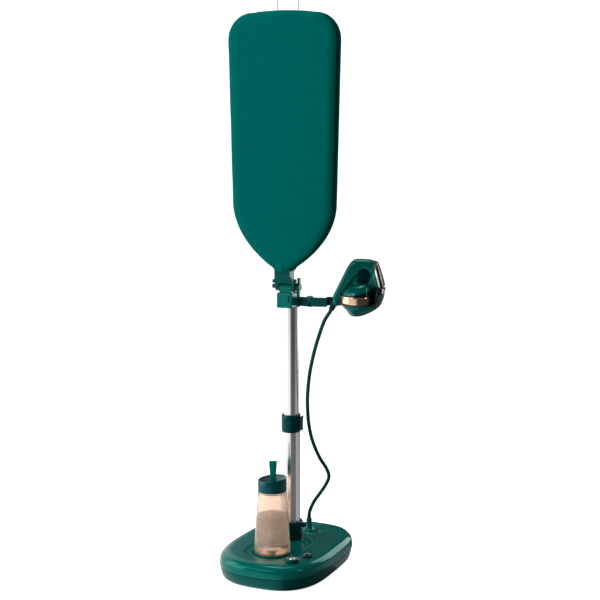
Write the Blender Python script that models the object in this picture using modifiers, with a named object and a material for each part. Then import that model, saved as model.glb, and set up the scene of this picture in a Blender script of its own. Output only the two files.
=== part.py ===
"""Upright steam ironing station: weighted base with a water bottle, telescopic mast,
tilting padded board and a hand iron parked in a cradle. Metres, +Z up, the floor at z = 0
and the mast's axis on the Z axis. The user stands on the -Y side."""

import math

import bmesh
import bpy
from mathutils import Matrix, Vector

# ---------------------------------------------------------------- general
GAP = 0.0003  # between touching pieces
EDGE = 0.0015  # small edge rounding
RING = 48  # points round the base outline

# ---------------------------------------------------------------- base
BASE_HALF_WIDTH = 0.160
BASE_FRONT = 0.192  # from the outline's widest line to the front
BASE_REAR = 0.228  # and to the rear
BASE_WIDEST_Y = -0.060
BASE_FRONT_POWER = 2.7
BASE_REAR_POWER = 4.2
BASE_FLOOR_Z = 0.0  # underside of the pan, on the floor with the feet let in flush
PARTING_Z = 0.036
CREASE_Z = 0.062
BASE_TOP_Z = 0.075
SHELL_WALL = 0.0028
PAN_WALL = 0.003
FOOT_RADIUS = 0.014
FOOT_THICK = 0.0015
FOOT_SEAT = 0.003  # how deep a foot sits in the pan
FOOT_X = 0.100
FOOT_FRONT_Y = -0.190
FOOT_REAR_Y = 0.110

# ---------------------------------------------------------------- bottle
BOTTLE_Y = -0.129
BOTTLE_SEAT_Z = 0.0715
BOTTLE_FOOT_RADIUS = 0.0530
BOTTLE_SHOULDER_RADIUS = 0.0418
BOTTLE_SHOULDER_Z = 0.256
BOTTLE_WALL = 0.002
BOTTLE_NECK_RADIUS = 0.031
BOTTLE_NECK_HEIGHT = 0.014
SEAT_RADIUS = 0.056
VALVE_RADIUS = 0.011
CAP_HEIGHT = 0.034
CAP_SLANT = math.radians(6.0)
CAP_TURN = math.radians(25.0)
STRAP_WIDTH = 0.019
STRAP_THICK = 0.0022
STRAP_HEIGHT = 0.044
STRAP_GAP = 0.009

# ---------------------------------------------------------------- controls
DIAL_PLACE = (0.090, -0.186)
DIAL_RADIUS = 0.0205
DIAL_HEIGHT = 0.011
DIAL_CORE_RADIUS = 0.0095
SHAFT_RADIUS = 0.0030
SHAFT_CLEARANCE = 0.0006
BUTTON_PLACE = (0.113, -0.132)
BUTTON_RADIUS = 0.0155
BUTTON_HEIGHT = 0.0075
BUTTON_TRAVEL = 0.002

# ---------------------------------------------------------------- mast
LOWER_TUBE_RADIUS = 0.0262
UPPER_TUBE_RADIUS = 0.0226
TUBE_WALL = 0.0015
LOWER_TUBE_FOOT_Z = 0.012
LOWER_TUBE_TOP_Z = 0.428
UPPER_TUBE_FOOT_Z = 0.345
HEAD_BOTTOM_Z = 0.775
UPPER_TUBE_TOP_Z = 0.806
SOCKET_RADIUS = LOWER_TUBE_RADIUS + 0.0103
SOCKET_TOP_Z = 0.130
COLLAR_RADIUS = LOWER_TUBE_RADIUS + 0.0023
COLLAR_BOTTOM_Z = 0.402
COLLAR_TOP_Z = 0.454
COLLAR_LIP_Z = LOWER_TUBE_TOP_Z + GAP
LEVER_WIDTH = 0.016
LEVER_THICK = 0.0045
LEVER_PIVOT_Z = 0.410

# ---------------------------------------------------------------- mast head and tilt hinge
HEAD_RADIUS = 0.0275
HEAD_TOP_Z = 0.822
HEAD_NOSE_HALF = 0.0245
HEAD_NOSE_Y = -0.047
HEAD_NOSE_TOP_Z = 0.819
TILT_Y = -0.030
TILT_Z = 0.8365
BARREL_RADIUS = 0.011
BARREL_HALF = 0.0190
EAR_RADIUS = 0.0135
EAR_THICK = 0.0115
PIN_RADIUS = 0.0035
PIN_CLEARANCE = 0.0004
KNOB_RADIUS = 0.0105
KNOB_THICK = 0.0125
FLANGE_BOTTOM_Z = 0.8495
FLANGE_TOP_Z = 0.859
FLANGE_HALF = 0.0318
NECK_HALF = 0.0245
NECK_FRONT_Y = -0.060
NECK_REAR_Y = -0.030
NECK_TOP_Z = 0.935

# ---------------------------------------------------------------- board
BOARD_FRONT_Y = -0.070
BOARD_REAR_Y = -0.022
BOARD_TOP_Z = 1.615
BOARD_TAPER_Z = 1.080  # the straight sides end and the point starts
BOARD_TIP_Z = 0.878
BOARD_HALF_TOP = 0.167
BOARD_HALF_TAPER = 0.156
BOARD_CORNER = 0.075
BOARD_CROWN = 0.006
TIP_POWER = 0.85
PAD_THICK = 0.014
PAD_WALL = 0.005
PAD_ROUNDING = 0.008
CORE_REAR_Y = -0.026
RIB_DEPTH = 0.020
RIB_WALL = 0.006

# ---------------------------------------------------------------- hanger hook
HOOK_HALF = 0.032
HOOK_Y = -0.0185
HOOK_WIRE = 0.0017
HOOK_TOP_Z = 1.690
HOOK_FOOT_Z = 1.500
HOOK_DROP = 0.060  # how far the hook slides down
CLIP_Z = 1.560

# ---------------------------------------------------------------- holder arm, cradle and iron
ARM_JOINT_X = 0.060
ARM_SWING = math.radians(17.0)
ARM_BOTTOM_Z = 0.779
ARM_TOP_Z = 0.803
ARM_HALF = 0.010
ARM_SCREW_RADIUS = 0.0045
# The cradle's sections from the floor to the rim: height, near end, far end, half width.
CUP_SECTIONS = [
    (0.754, 0.119, 0.150, 0.017),
    (0.757, 0.115, 0.160, 0.025),
    (0.764, 0.110, 0.175, 0.033),
    (0.772, 0.104, 0.189, 0.040),
    (0.780, 0.096, 0.199, 0.045),
    (0.788, 0.089, 0.2060, 0.048),
]
BACK_SECTIONS = [
    (0.788, 0.089, 0.2060, 0.048),
    (0.800, 0.089, 0.2105, 0.048),
    (0.813, 0.090, 0.2150, 0.0475),
    (0.836, 0.093, 0.2190, 0.046),
]
CUP_WALL = 0.0026
CUP_PLAY = 0.0008
BACK_START = 0.188  # the back wall starts here, along the arm
HEEL_CENTRE = 0.140
HEEL_HALF_LONG = 0.0475
HEEL_HALF_WIDE = 0.0440
HEEL_FOOT_Z = 0.768
RING_BOTTOM_Z = 0.775
RING_TOP_Z = 0.814
RING_NEAR, RING_FAR = HEEL_CENTRE - HEEL_HALF_LONG, HEEL_CENTRE + HEEL_HALF_LONG
RING_SECTIONS = [
    (RING_BOTTOM_Z, RING_NEAR + 0.0160, RING_FAR - 0.0115, HEEL_HALF_WIDE - 0.0105),
    (0.7810, RING_NEAR + 0.0085, RING_FAR - 0.0065, HEEL_HALF_WIDE - 0.0035),
    (0.7885, RING_NEAR + 0.0025, RING_FAR - 0.0015, HEEL_HALF_WIDE - 0.0012),
    (RING_TOP_Z, RING_NEAR, RING_FAR, HEEL_HALF_WIDE),
]
BLOCK_TOP_Z = 0.8365
HANDLE_HALF = 0.0155
HANDLE_ROUNDING = 0.007
WEB_HALF = 0.003  # half the web between the two finger scoops
SOLE_LEAN = math.radians(15.5)
SOLE_HEEL = (0.2150, 0.8395)  # outer face at the heel: along the arm, height
SOLE_LENGTH = 0.0765
SOLE_HALF_HEEL = 0.0405
SOLE_HALF_NOSE = 0.0150
SOLE_THICK = 0.0055
SKIRT_THICK = 0.0050
HOOD_THICK = 0.0120
HEATER_THICK = 0.0070
HANDLE_FOOT = (0.0700, 0.786)
HANDLE_DIRECTION = math.radians(27.0)  # from the vertical
SLEEVE_LENGTH = 0.024
SLEEVE_RADIUS = 0.0095
TRIGGER_RADIUS = 0.0060

# ---------------------------------------------------------------- hose
HOSE_RADIUS = 0.0055
OUTLET_PLACE = (0.018, 0.090)
OUTLET_TOP_Z = 0.111
# Route from the outlet to the sleeve under the handle, chosen by hand.
HOSE_ROUTE = [
    (0.0180, 0.0900, 0.1115),
    (0.0190, 0.0890, 0.1260),
    (0.0255, 0.0865, 0.1450),
    (0.0375, 0.0860, 0.1690),
    (0.0560, 0.0875, 0.1960),
    (0.0750, 0.0880, 0.2260),
    (0.0845, 0.0865, 0.2510),
    (0.0805, 0.0775, 0.2770),
    (0.0635, 0.0620, 0.3150),
    (0.0485, 0.0450, 0.3680),
    (0.0425, 0.0320, 0.4220),
    (0.0422, 0.0240, 0.4760),
    (0.0455, 0.0180, 0.5180),
    (0.0536, 0.0130, 0.5750),
    (0.0670, 0.0110, 0.6350),
    (0.0820, 0.0130, 0.6880),
    (0.0980, 0.0170, 0.7350),
]
HOSE_SPACING = 0.0115


# ================================================================ scene helpers
def clear_scene():
    for thing in list(bpy.data.objects):
        bpy.data.objects.remove(thing, do_unlink=True)


def new_collection(name):
    found = bpy.data.collections.new(name)
    bpy.context.scene.collection.children.link(found)
    return found


def material(name, colour, roughness, metallic=0.0):
    made = bpy.data.materials.new(name)
    made.use_nodes = True
    shader = made.node_tree.nodes["Principled BSDF"]
    shader.inputs["Base Color"].default_value = (*colour, 1.0)
    shader.inputs["Roughness"].default_value = roughness
    shader.inputs["Metallic"].default_value = metallic
    return made


def link(name, mesh, where, finish=None, parent=None):
    made = bpy.data.objects.new(name, mesh)
    where.objects.link(made)
    if finish:
        mesh.materials.append(finish)
    made.parent = parent
    return made


def smooth(thing, degrees=32.0):
    thing.data.shade_smooth()
    thing.data.set_sharp_from_angle(angle=math.radians(degrees))
    return thing


def mesh_from(build):
    """A mesh filled in by build(bm), with its faces turned outward."""
    bm = bmesh.new()
    build(bm)
    bmesh.ops.recalc_face_normals(bm, faces=bm.faces)
    if bm.calc_volume(signed=True) < 0:
        bmesh.ops.reverse_faces(bm, faces=bm.faces)
    mesh = bpy.data.meshes.new("mesh")
    bm.to_mesh(mesh)
    bm.free()
    return mesh


def bevel(thing, width, segments=2, angle=35.0):
    made = thing.modifiers.new("rounded edges", "BEVEL")
    made.width = width
    made.segments = segments
    made.limit_method = "ANGLE"
    made.angle_limit = math.radians(angle)
    made.use_clamp_overlap = True
    return thing


def combine(thing, other, operation):
    made = thing.modifiers.new(operation.lower(), "BOOLEAN")
    made.operation = operation
    made.object = other
    made.solver = "EXACT"
    return thing


def cut(thing, *cutters):
    for cutter in cutters:
        combine(thing, cutter, "DIFFERENCE")
    return thing


def join(thing, *others):
    for other in others:
        combine(thing, other, "UNION")
    return thing


# ================================================================ shapes
def box_mesh(low, high):
    def build(bm):
        size = [b - a for a, b in zip(low, high)]
        centre = [(a + b) / 2 for a, b in zip(low, high)]
        matrix = Matrix.Translation(centre) @ Matrix.Diagonal((*size, 1.0))
        bmesh.ops.create_cube(bm, size=1.0, matrix=matrix)

    return mesh_from(build)


def rod_mesh(radius, start, end, sides=24, end_radius=None):
    """A round bar or cone from start to end."""
    start, end = Vector(start), Vector(end)
    run = end - start
    turn = run.to_track_quat("Z", "Y").to_matrix().to_4x4()

    def build(bm):
        bmesh.ops.create_cone(
            bm,
            cap_ends=True,
            segments=sides,
            radius1=radius,
            radius2=radius if end_radius is None else end_radius,
            depth=run.length,
            matrix=Matrix.Translation((start + end) / 2) @ turn,
        )

    return mesh_from(build)


def loft_mesh(rings):
    """A closed skin through rings of equally many points, with flat ends."""

    def build(bm):
        rows = [[bm.verts.new(point) for point in ring] for ring in rings]
        for low, high in zip(rows, rows[1:]):
            for i in range(len(low)):
                j = (i + 1) % len(low)
                bm.faces.new((low[i], low[j], high[j], high[i]))
        bm.faces.new(rows[0])
        bm.faces.new(rows[-1])

    return mesh_from(build)


def prism_mesh(outline, low, high, place):
    """An outline pushed from low to high; place(u, v, w) says where a point goes."""
    rings = [[place(u, v, w) for u, v in outline] for w in (low, high)]
    return loft_mesh(rings)


def turned(name, profile, where, finish, centre, steps=32, parent=None):
    """A profile of (radius, height) points, top to bottom on the outside, screwed round Z."""

    def build(bm):
        points = [bm.verts.new((radius, 0.0, height)) for radius, height in profile]
        for a, b in zip(points, points[1:]):
            bm.edges.new((a, b))

    made = link(name, mesh_from(build), where, finish, parent)
    made.location = centre
    screw = made.modifiers.new("turned", "SCREW")
    screw.axis = "Z"
    screw.steps = steps
    screw.render_steps = steps
    screw.use_merge_vertices = True
    screw.merge_threshold = 0.00005
    screw.use_smooth_shade = True
    return made


def tube_mesh_from_curve(curve):
    """The curve's own tube as a welded mesh, for pieces that are cut or joined."""
    depsgraph = bpy.context.evaluated_depsgraph_get()
    mesh = bpy.data.meshes.new_from_object(curve.evaluated_get(depsgraph))
    bm = bmesh.new()
    bm.from_mesh(mesh)
    bmesh.ops.remove_doubles(bm, verts=bm.verts, dist=0.00001)
    bmesh.ops.recalc_face_normals(bm, faces=bm.faces)
    bm.to_mesh(mesh)
    bm.free()
    return mesh


def wire(name, points, radius, where, finish, resolution=2):
    data = bpy.data.curves.new(name, "CURVE")
    data.dimensions = "3D"
    data.bevel_depth = radius
    data.bevel_resolution = resolution
    data.use_fill_caps = True
    spline = data.splines.new("POLY")
    spline.points.add(len(points) - 1)
    for point, place in zip(spline.points, points):
        point.co = (*place, 1.0)
    data.materials.append(finish)
    made = bpy.data.objects.new(name, data)
    where.objects.link(made)
    return made


def through(points, spacing):
    """Evenly spaced points on a smooth curve through the given ones."""
    points = [Vector(p) for p in points]
    ends = [2 * points[0] - points[1], *points, 2 * points[-1] - points[-2]]
    fine = []
    for i in range(1, len(ends) - 2):
        a, b, c, d = ends[i - 1 : i + 3]
        for k in range(16):
            t = k / 16
            fine.append(
                0.5
                * (
                    2 * b
                    + (c - a) * t
                    + (2 * a - 5 * b + 4 * c - d) * t**2
                    + (3 * b - a - 3 * c + d) * t**3
                )
            )
    fine.append(points[-1])
    lengths = [0.0]
    for a, b in zip(fine, fine[1:]):
        lengths.append(lengths[-1] + (b - a).length)
    count = max(2, round(lengths[-1] / spacing))
    spaced, at = [], 0
    for k in range(count + 1):
        want = lengths[-1] * k / count
        while at < len(lengths) - 2 and lengths[at + 1] < want:
            at += 1
        share = (want - lengths[at]) / (lengths[at + 1] - lengths[at])
        spaced.append(fine[at].lerp(fine[at + 1], min(1.0, share)))
    return spaced


def arc(centre, radius, start, end, count):
    """Points (u, v) on an arc, angles in degrees."""
    made = []
    for i in range(count + 1):
        angle = math.radians(start + (end - start) * i / count)
        u = centre[0] + radius * math.cos(angle)
        v = centre[1] + radius * math.sin(angle)
        made.append((u, v))
    return made


# ================================================================ outlines
def base_ring(inset, height):
    """The base's plan at a height, drawn in by inset."""
    points = []
    half = BASE_HALF_WIDTH - inset
    for i in range(RING):
        angle = 2 * math.pi * i / RING
        c, s = math.cos(angle), math.sin(angle)
        rear = s > 0
        power = BASE_REAR_POWER if rear else BASE_FRONT_POWER
        reach = (BASE_REAR if rear else BASE_FRONT) - inset
        x = math.copysign(abs(c) ** (2 / power), c) * half
        y = math.copysign(abs(s) ** (2 / power), s) * reach
        points.append((x, BASE_WIDEST_Y + y, height))
    return points


def board_outline(inset=0.0):
    """Half of the board's outline from the top centre down the +X side, as (x, z)."""
    half_top = BOARD_HALF_TOP - inset
    half_taper = BOARD_HALF_TAPER - inset
    top = BOARD_TOP_Z - inset
    corner = BOARD_CORNER - inset
    points = [(half_top * 0.28, top - BOARD_CROWN * 0.1)]
    centre = (half_top - corner, top - BOARD_CROWN - corner)
    points += arc(centre, corner, 88.0, 0.0, 7)
    points.append((half_taper, BOARD_TAPER_Z))
    reach = BOARD_TAPER_Z - BOARD_TIP_Z - inset
    for k in range(1, 9):
        u = k / 9
        points.append((half_taper * (1 - u * u) ** TIP_POWER, BOARD_TAPER_Z - u * reach))
    tip = BOARD_TIP_Z + inset
    points.append((half_taper * 0.16, tip))
    left = [(-x, z) for x, z in reversed(points)]
    return points + left


def sole_outline(inset=0.0):
    """The sole's outline as (across, along): heel at 0, nose at SOLE_LENGTH."""
    heel = SOLE_HALF_HEEL - inset
    nose = SOLE_HALF_NOSE - inset
    length = SOLE_LENGTH - inset
    right = [
        (heel * 0.75, inset),
        (heel * 0.94, inset + 0.004),
        (heel, inset + 0.014),
        (heel * 0.97, length * 0.42),
        (heel * 0.80, length * 0.70),
        (nose, length * 0.93),
        (nose * 0.5, length),
    ]
    return right + [(-u, v) for u, v in reversed(right)]


def ellipse(centre, half_long, half_wide, height, count=28):
    points = []
    for i in range(count):
        angle = 2 * math.pi * i / count
        along = centre + half_long * math.cos(angle)
        across = half_wide * math.sin(angle)
        points.append((along, across, height))
    return points


# ================================================================ the base
def add_base(parts, cutters, looks):
    green, dark, steel = looks["gloss"], looks["dark"], looks["steel"]
    outer = [(0.014, BASE_FLOOR_Z), (0.004, BASE_FLOOR_Z + 0.006), (-0.003, PARTING_Z - GAP / 2)]
    pan = link("base_pan", loft_mesh([base_ring(*r) for r in outer]), parts, dark)
    floor = BASE_FLOOR_Z + PAN_WALL
    inner = [
        (0.014 + PAN_WALL, floor),
        (0.004 + PAN_WALL, floor + 0.006),
        (-0.003 + PAN_WALL, PARTING_Z + 0.001),
    ]
    cut(pan, link("pan_hollow", loft_mesh([base_ring(*r) for r in inner]), cutters))

    outer = [
        (-0.004, PARTING_Z + GAP / 2),
        (0.0, CREASE_Z),
        (0.003, CREASE_Z + 0.0045),
        (0.009, BASE_TOP_Z - 0.0035),
        (0.028, BASE_TOP_Z - 0.0005),
        (0.045, BASE_TOP_Z),
    ]
    shell = link("base_cover", loft_mesh([base_ring(*r) for r in outer]), parts, green)
    under = [(inset + SHELL_WALL, z - SHELL_WALL) for inset, z in outer[1:]]
    inner = [(-0.004 + SHELL_WALL, PARTING_Z - 0.001), *under]
    hollow = link("cover_hollow", loft_mesh([base_ring(*r) for r in inner]), cutters)
    seat = rod_mesh(SEAT_RADIUS, (0, BOTTLE_Y, 0.06), (0, BOTTLE_Y, 0.1), 40)
    mast = rod_mesh(SOCKET_RADIUS + GAP, (0, 0, 0.06), (0, 0, 0.1), 40)
    dial = rod_mesh(SHAFT_RADIUS + SHAFT_CLEARANCE, (*DIAL_PLACE, 0.06), (*DIAL_PLACE, 0.1), 16)
    button = rod_mesh(BUTTON_RADIUS + 0.0005, (*BUTTON_PLACE, 0.06), (*BUTTON_PLACE, 0.1), 24)
    outlet = rod_mesh(HOSE_RADIUS + 0.003, (*OUTLET_PLACE, 0.06), (*OUTLET_PLACE, 0.1), 16)
    holes = {"seat_hole": seat, "mast_hole": mast, "dial_hole": dial}
    holes |= {"button_hole": button, "outlet_hole": outlet}
    cut(shell, hollow, *[link(name, mesh, cutters) for name, mesh in holes.items()])
    inlet = box_mesh((-INLET_HALF, 0.15, INLET_Z - 0.009), (INLET_HALF, 0.19, INLET_Z + 0.009))
    cut(shell, link("inlet_hole", inlet, cutters))

    places = {
        "foot_front_left": (-FOOT_X, FOOT_FRONT_Y),
        "foot_front_right": (FOOT_X, FOOT_FRONT_Y),
        "foot_rear_left": (-FOOT_X, FOOT_REAR_Y),
        "foot_rear_right": (FOOT_X, FOOT_REAR_Y),
    }
    recesses = []
    for name, (x, y) in places.items():
        foot = link(name, rod_mesh(FOOT_RADIUS, (0, 0, 0), (0, 0, FOOT_THICK), 24), parts, looks["rubber"])
        foot.location = (x, y, BASE_FLOOR_Z)
        ends = [(x, y, BASE_FLOOR_Z - 0.001), (x, y, BASE_FLOOR_Z + FOOT_THICK + GAP)]
        recesses.append(link(f"recess_{name}", rod_mesh(FOOT_RADIUS + GAP, *ends, 24), cutters))
    cut(pan, *recesses)
    floor += GAP
    ballast = box_mesh((-0.095, 0.046, floor), (0.095, 0.128, floor + 0.014))
    link("ballast_weight", ballast, parts, steel)


INLET_Z = 0.050
INLET_HALF = 0.013


def add_base_insides(parts, cutters, looks):
    floor = BASE_FLOOR_Z + PAN_WALL + GAP
    boiler = box_mesh((-0.118, -0.075, floor), (-0.046, 0.035, floor + 0.040))
    bevel(link("steam_boiler", boiler, parts, looks["steel"]), 0.006)
    pump = rod_mesh(0.016, (-0.050, 0.030, floor + 0.017), (-0.050, -0.030, floor + 0.017))
    pump = link("water_pump", pump, parts, looks["dark"])
    pump.location = (0.122, 0.000, 0.0)
    board = box_mesh((0.052, -0.170, 0.045), (0.125, -0.062, 0.0466))
    link("control_board", board, parts, looks["rubber"])
    add_inlet(parts, looks)


def add_inlet(parts, looks):
    """A mains inlet in the rear wall: a flanged block with a round lead hole."""
    rear = BASE_WIDEST_Y + BASE_REAR
    low = (-INLET_HALF + GAP, rear - 0.022, INLET_Z - 0.009 + GAP)
    high = (INLET_HALF - GAP, rear + 0.0045, INLET_Z + 0.009 - GAP)
    block = link("power_inlet", box_mesh(low, high), parts, looks["rubber"])
    bore = rod_mesh(0.0040, (0, rear - 0.012, INLET_Z), (0, rear + 0.010, INLET_Z), 16)
    bore = link("inlet_bore", bore, bpy.data.collections["cutters"])
    cut(block, bore)


def add_controls(parts, looks):
    x, y = DIAL_PLACE
    top = BASE_TOP_Z + GAP
    core = DIAL_CORE_RADIUS
    profile = [
        (core + GAP, top + DIAL_HEIGHT - 0.0015),
        (DIAL_RADIUS - 0.004, top + DIAL_HEIGHT),
        (DIAL_RADIUS - 0.001, top + DIAL_HEIGHT - 0.003),
        (DIAL_RADIUS, top),
        (SHAFT_RADIUS + GAP, top),
        (SHAFT_RADIUS + GAP, top + 0.004),
        (core + GAP, top + 0.004),
        (core + GAP, top + DIAL_HEIGHT - 0.0015),
    ]
    turned("steam_dial", profile, parts, looks["dark"], (x, y, 0))
    seat = top + 0.004 + GAP
    profile = [
        (0.0, top + DIAL_HEIGHT),
        (core * 0.8, top + DIAL_HEIGHT - 0.0004),
        (core, top + DIAL_HEIGHT - 0.002),
        (core, seat),
        (0.0, seat),
    ]
    turned("dial_cap", profile, parts, looks["chrome"], (x, y, 0), 24)
    shaft = [(0.0, top + 0.004), (SHAFT_RADIUS, top + 0.004)]
    shaft += [(SHAFT_RADIUS, 0.0560 + GAP), (0.0, 0.0560 + GAP)]
    turned("dial_shaft", shaft, parts, looks["steel"], (x, y, 0), 16)
    body = box_mesh((x - 0.010, y - 0.010, 0.0475), (x + 0.010, y + 0.010, 0.056))
    link("dial_switch", body, parts, looks["dark"])

    x, y = BUTTON_PLACE
    low = BASE_TOP_Z - 0.010
    radius = BUTTON_RADIUS
    profile = [
        (0.0, BASE_TOP_Z + BUTTON_HEIGHT - 0.003),
        (radius * 0.70, BASE_TOP_Z + BUTTON_HEIGHT - 0.002),
        (radius * 0.90, BASE_TOP_Z + BUTTON_HEIGHT),
        (radius, BASE_TOP_Z + BUTTON_HEIGHT - 0.002),
        (radius, low),
        (0.0, low),
    ]
    turned("power_button", profile, parts, looks["dark"], (x, y, 0))
    top = low - BUTTON_TRAVEL - GAP
    body = box_mesh((x - 0.008, y - 0.008, 0.0475), (x + 0.008, y + 0.008, top))
    link("button_switch", body, parts, looks["rubber"])


def add_hose_outlet(parts, looks):
    """A flared fairing on the base that the hose leaves straight up."""
    bore = HOSE_RADIUS + GAP
    foot, height = BASE_TOP_Z + GAP, OUTLET_TOP_Z - BASE_TOP_Z
    profile = [(bore, OUTLET_TOP_Z), (bore + 0.0022, OUTLET_TOP_Z)]
    for share, radius in ((0.30, 0.0085), (0.55, 0.0105), (0.78, 0.0150), (0.93, 0.0205)):
        profile.append((radius, OUTLET_TOP_Z - share * height))
    profile += [(0.0240, foot), (bore, foot), (bore, OUTLET_TOP_Z)]
    x, y = OUTLET_PLACE
    turned("hose_outlet", profile, parts, looks["gloss"], (x, y, 0), 28)


# ================================================================ the bottle
def add_bottle(parts, cutters, looks):
    seat_floor = BOTTLE_SEAT_Z - GAP
    profile = [
        (SEAT_RADIUS - GAP, BASE_TOP_Z + 0.0012),
        (SEAT_RADIUS - GAP, BASE_TOP_Z - 0.010),
        (VALVE_RADIUS + 0.0015, BASE_TOP_Z - 0.010),
        (VALVE_RADIUS + 0.0015, seat_floor),
        (BOTTLE_FOOT_RADIUS + 0.0006, seat_floor),
        (SEAT_RADIUS - 0.0012, BASE_TOP_Z + 0.0012),
        (SEAT_RADIUS - GAP, BASE_TOP_Z + 0.0012),
    ]
    turned("bottle_seat", profile, parts, looks["dark"], (0, BOTTLE_Y, 0), 40)
    wall, neck = BOTTLE_WALL, BOTTLE_NECK_RADIUS
    foot, shoulder = BOTTLE_FOOT_RADIUS, BOTTLE_SHOULDER_RADIUS
    low, high = BOTTLE_SEAT_Z, BOTTLE_SHOULDER_Z
    mouth = high + BOTTLE_NECK_HEIGHT
    profile = [
        (neck - wall, mouth),
        (neck, mouth),
        (neck, high + 0.0005),
        (shoulder - 0.003, high),
        (shoulder, high - 0.003),
        (foot, low + 0.010),
        (foot - 0.0015, low + 0.003),
        (foot - 0.006, low),
        (VALVE_RADIUS + GAP, low),
        (VALVE_RADIUS + GAP, low + 0.003),
        (foot - 0.006, low + 0.003),
        (foot - wall, low + 0.011),
        (shoulder - wall, high - 0.004),
        (neck - wall, high - 0.001),
        (neck - wall, mouth),
    ]
    turned("water_bottle", profile, parts, looks["bottle"], (0, BOTTLE_Y, 0), 36)
    profile = [
        (0.0, low + 0.010),
        (VALVE_RADIUS - 0.002, low + 0.010),
        (VALVE_RADIUS, low + 0.004),
        (VALVE_RADIUS, low - 0.006),
        (0.0, low - 0.006),
    ]
    turned("bottle_valve", profile, parts, looks["dark"], (0, BOTTLE_Y, 0), 24)
    add_cap(parts, cutters, looks)


def add_cap(parts, cutters, looks):
    frame = bpy.data.objects.new("cap_frame", None)
    parts.objects.link(frame)
    frame.location = (0, BOTTLE_Y, 0)
    frame.rotation_euler = (0, 0, CAP_TURN)
    low = BOTTLE_SHOULDER_Z + GAP + 0.0003
    high = low + CAP_HEIGHT + 0.006
    outer, neck = BOTTLE_SHOULDER_RADIUS, BOTTLE_NECK_RADIUS + GAP
    mouth = BOTTLE_SHOULDER_Z + BOTTLE_NECK_HEIGHT + GAP
    profile = [(0.0, high), (outer - 0.0035, high), (outer, low), (neck, low)]
    profile += [(neck, mouth), (0.0, mouth)]
    cap = turned("bottle_cap", profile, parts, looks["dark"], (0, 0, 0), 36, frame)
    slab = link("cap_slant", box_mesh((-0.06, -0.06, 0.0), (0.06, 0.06, 0.03)), cutters, None, frame)
    slab.location = (0, 0, low + CAP_HEIGHT)
    slab.rotation_euler = (0, -CAP_SLANT, 0)
    cut(cap, slab)
    outside, inside = strap_ring(STRAP_GAP / 2 + STRAP_THICK), strap_ring(STRAP_GAP / 2)
    outline = outside + list(reversed(inside))
    place = lambda u, v, w: (w, u, v)  # noqa: E731
    half = STRAP_WIDTH / 2
    strap = link("cap_strap", prism_mesh(outline, -half, half, place), parts, looks["gloss"], frame)
    strap.location = (0, 0, low + CAP_HEIGHT + 0.0015)


def strap_ring(half):
    """One face of the strap's loop, up one leg, over the top and down the other."""
    top = STRAP_HEIGHT - STRAP_GAP / 2 - STRAP_THICK
    return [(half, 0.0), *arc((0.0, top), half, 0.0, 180.0, 8), (-half, 0.0)]


# ================================================================ the mast
def tube(name, radius, low, high, parts, finish, wall=TUBE_WALL, steps=36):
    profile = [(radius - wall, high), (radius, high), (radius, low)]
    profile += [(radius - wall, low), (radius - wall, high)]
    return turned(name, profile, parts, finish, (0, 0, 0), steps)


def add_mast(parts, cutters, looks):
    metal, dark = looks["aluminium"], looks["dark"]
    tube("lower_tube", LOWER_TUBE_RADIUS, LOWER_TUBE_FOOT_Z, LOWER_TUBE_TOP_Z, parts, metal)
    tube("upper_tube", UPPER_TUBE_RADIUS, UPPER_TUBE_FOOT_Z, UPPER_TUBE_TOP_Z, parts, metal)
    bore = LOWER_TUBE_RADIUS - TUBE_WALL - GAP
    slide = UPPER_TUBE_RADIUS + GAP
    tube("guide_bush", bore, 0.390, LOWER_TUBE_TOP_Z, parts, looks["rubber"], bore - slide)
    low, high = COLLAR_BOTTOM_Z, COLLAR_TOP_Z
    radius = COLLAR_RADIUS
    profile = [
        (slide, high),
        (radius - 0.0015, high),
        (radius, high - 0.002),
        (radius, low + 0.001),
        (radius - 0.001, low),
        (LOWER_TUBE_RADIUS + GAP, low),
        (LOWER_TUBE_RADIUS + GAP, COLLAR_LIP_Z),
        (slide, COLLAR_LIP_Z),
        (slide, high),
    ]
    turned("height_collar", profile, parts, dark, (0, 0, 0), 36)
    add_collar_lever(parts, looks)
    floor = BASE_FLOOR_Z + PAN_WALL + GAP
    inner = LOWER_TUBE_RADIUS + GAP
    outer = SOCKET_RADIUS
    profile = [
        (inner, SOCKET_TOP_Z),
        (outer - 0.004, SOCKET_TOP_Z),
        (outer - 0.001, SOCKET_TOP_Z - 0.003),
        (outer, BASE_TOP_Z),
        (outer, floor),
        (0.0, floor),
        (0.0, LOWER_TUBE_FOOT_Z - GAP),
        (inner, LOWER_TUBE_FOOT_Z - GAP),
        (inner, SOCKET_TOP_Z),
    ]
    turned("mast_socket", profile, parts, dark, (0, 0, 0), 40)
    add_socket_latch(parts, looks)


def add_collar_lever(parts, looks):
    """A cam lever on the collar's +X side, hinged at its foot and lying up along the collar."""
    root = bpy.data.objects.new("collar_lever_axis", None)
    parts.objects.link(root)
    root.location = (COLLAR_RADIUS + GAP + 0.0030, 0, LEVER_PIVOT_Z)
    half = LEVER_WIDTH / 2
    thick = LEVER_THICK
    outline = [(-0.0030, 0.0), (-0.0010, -0.0028), (0.0025, -0.0030), (0.0025, 0.030), (0.0050, 0.041)]
    outline += [(0.0050 - thick * 0.6, 0.0425), (-0.0030, 0.034)]
    place = lambda u, v, w: (u, w, v)  # noqa: E731
    lever = link("collar_lever", prism_mesh(outline, -half, half, place), parts, looks["dark"], root)
    bevel(lever, 0.0008, 1)


def add_socket_latch(parts, looks):
    """A thumb screw through the socket's +X side that grips the lower tube."""
    start = SOCKET_RADIUS + GAP
    mesh = rod_mesh(0.0075, (0, 0, 0), (0.012, 0, 0), 20, 0.0065)
    latch = link("socket_screw", mesh, parts, looks["dark"])
    latch.location = (start, 0, SOCKET_TOP_Z - 0.0095)
    bevel(latch, 0.001, 2)


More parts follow.
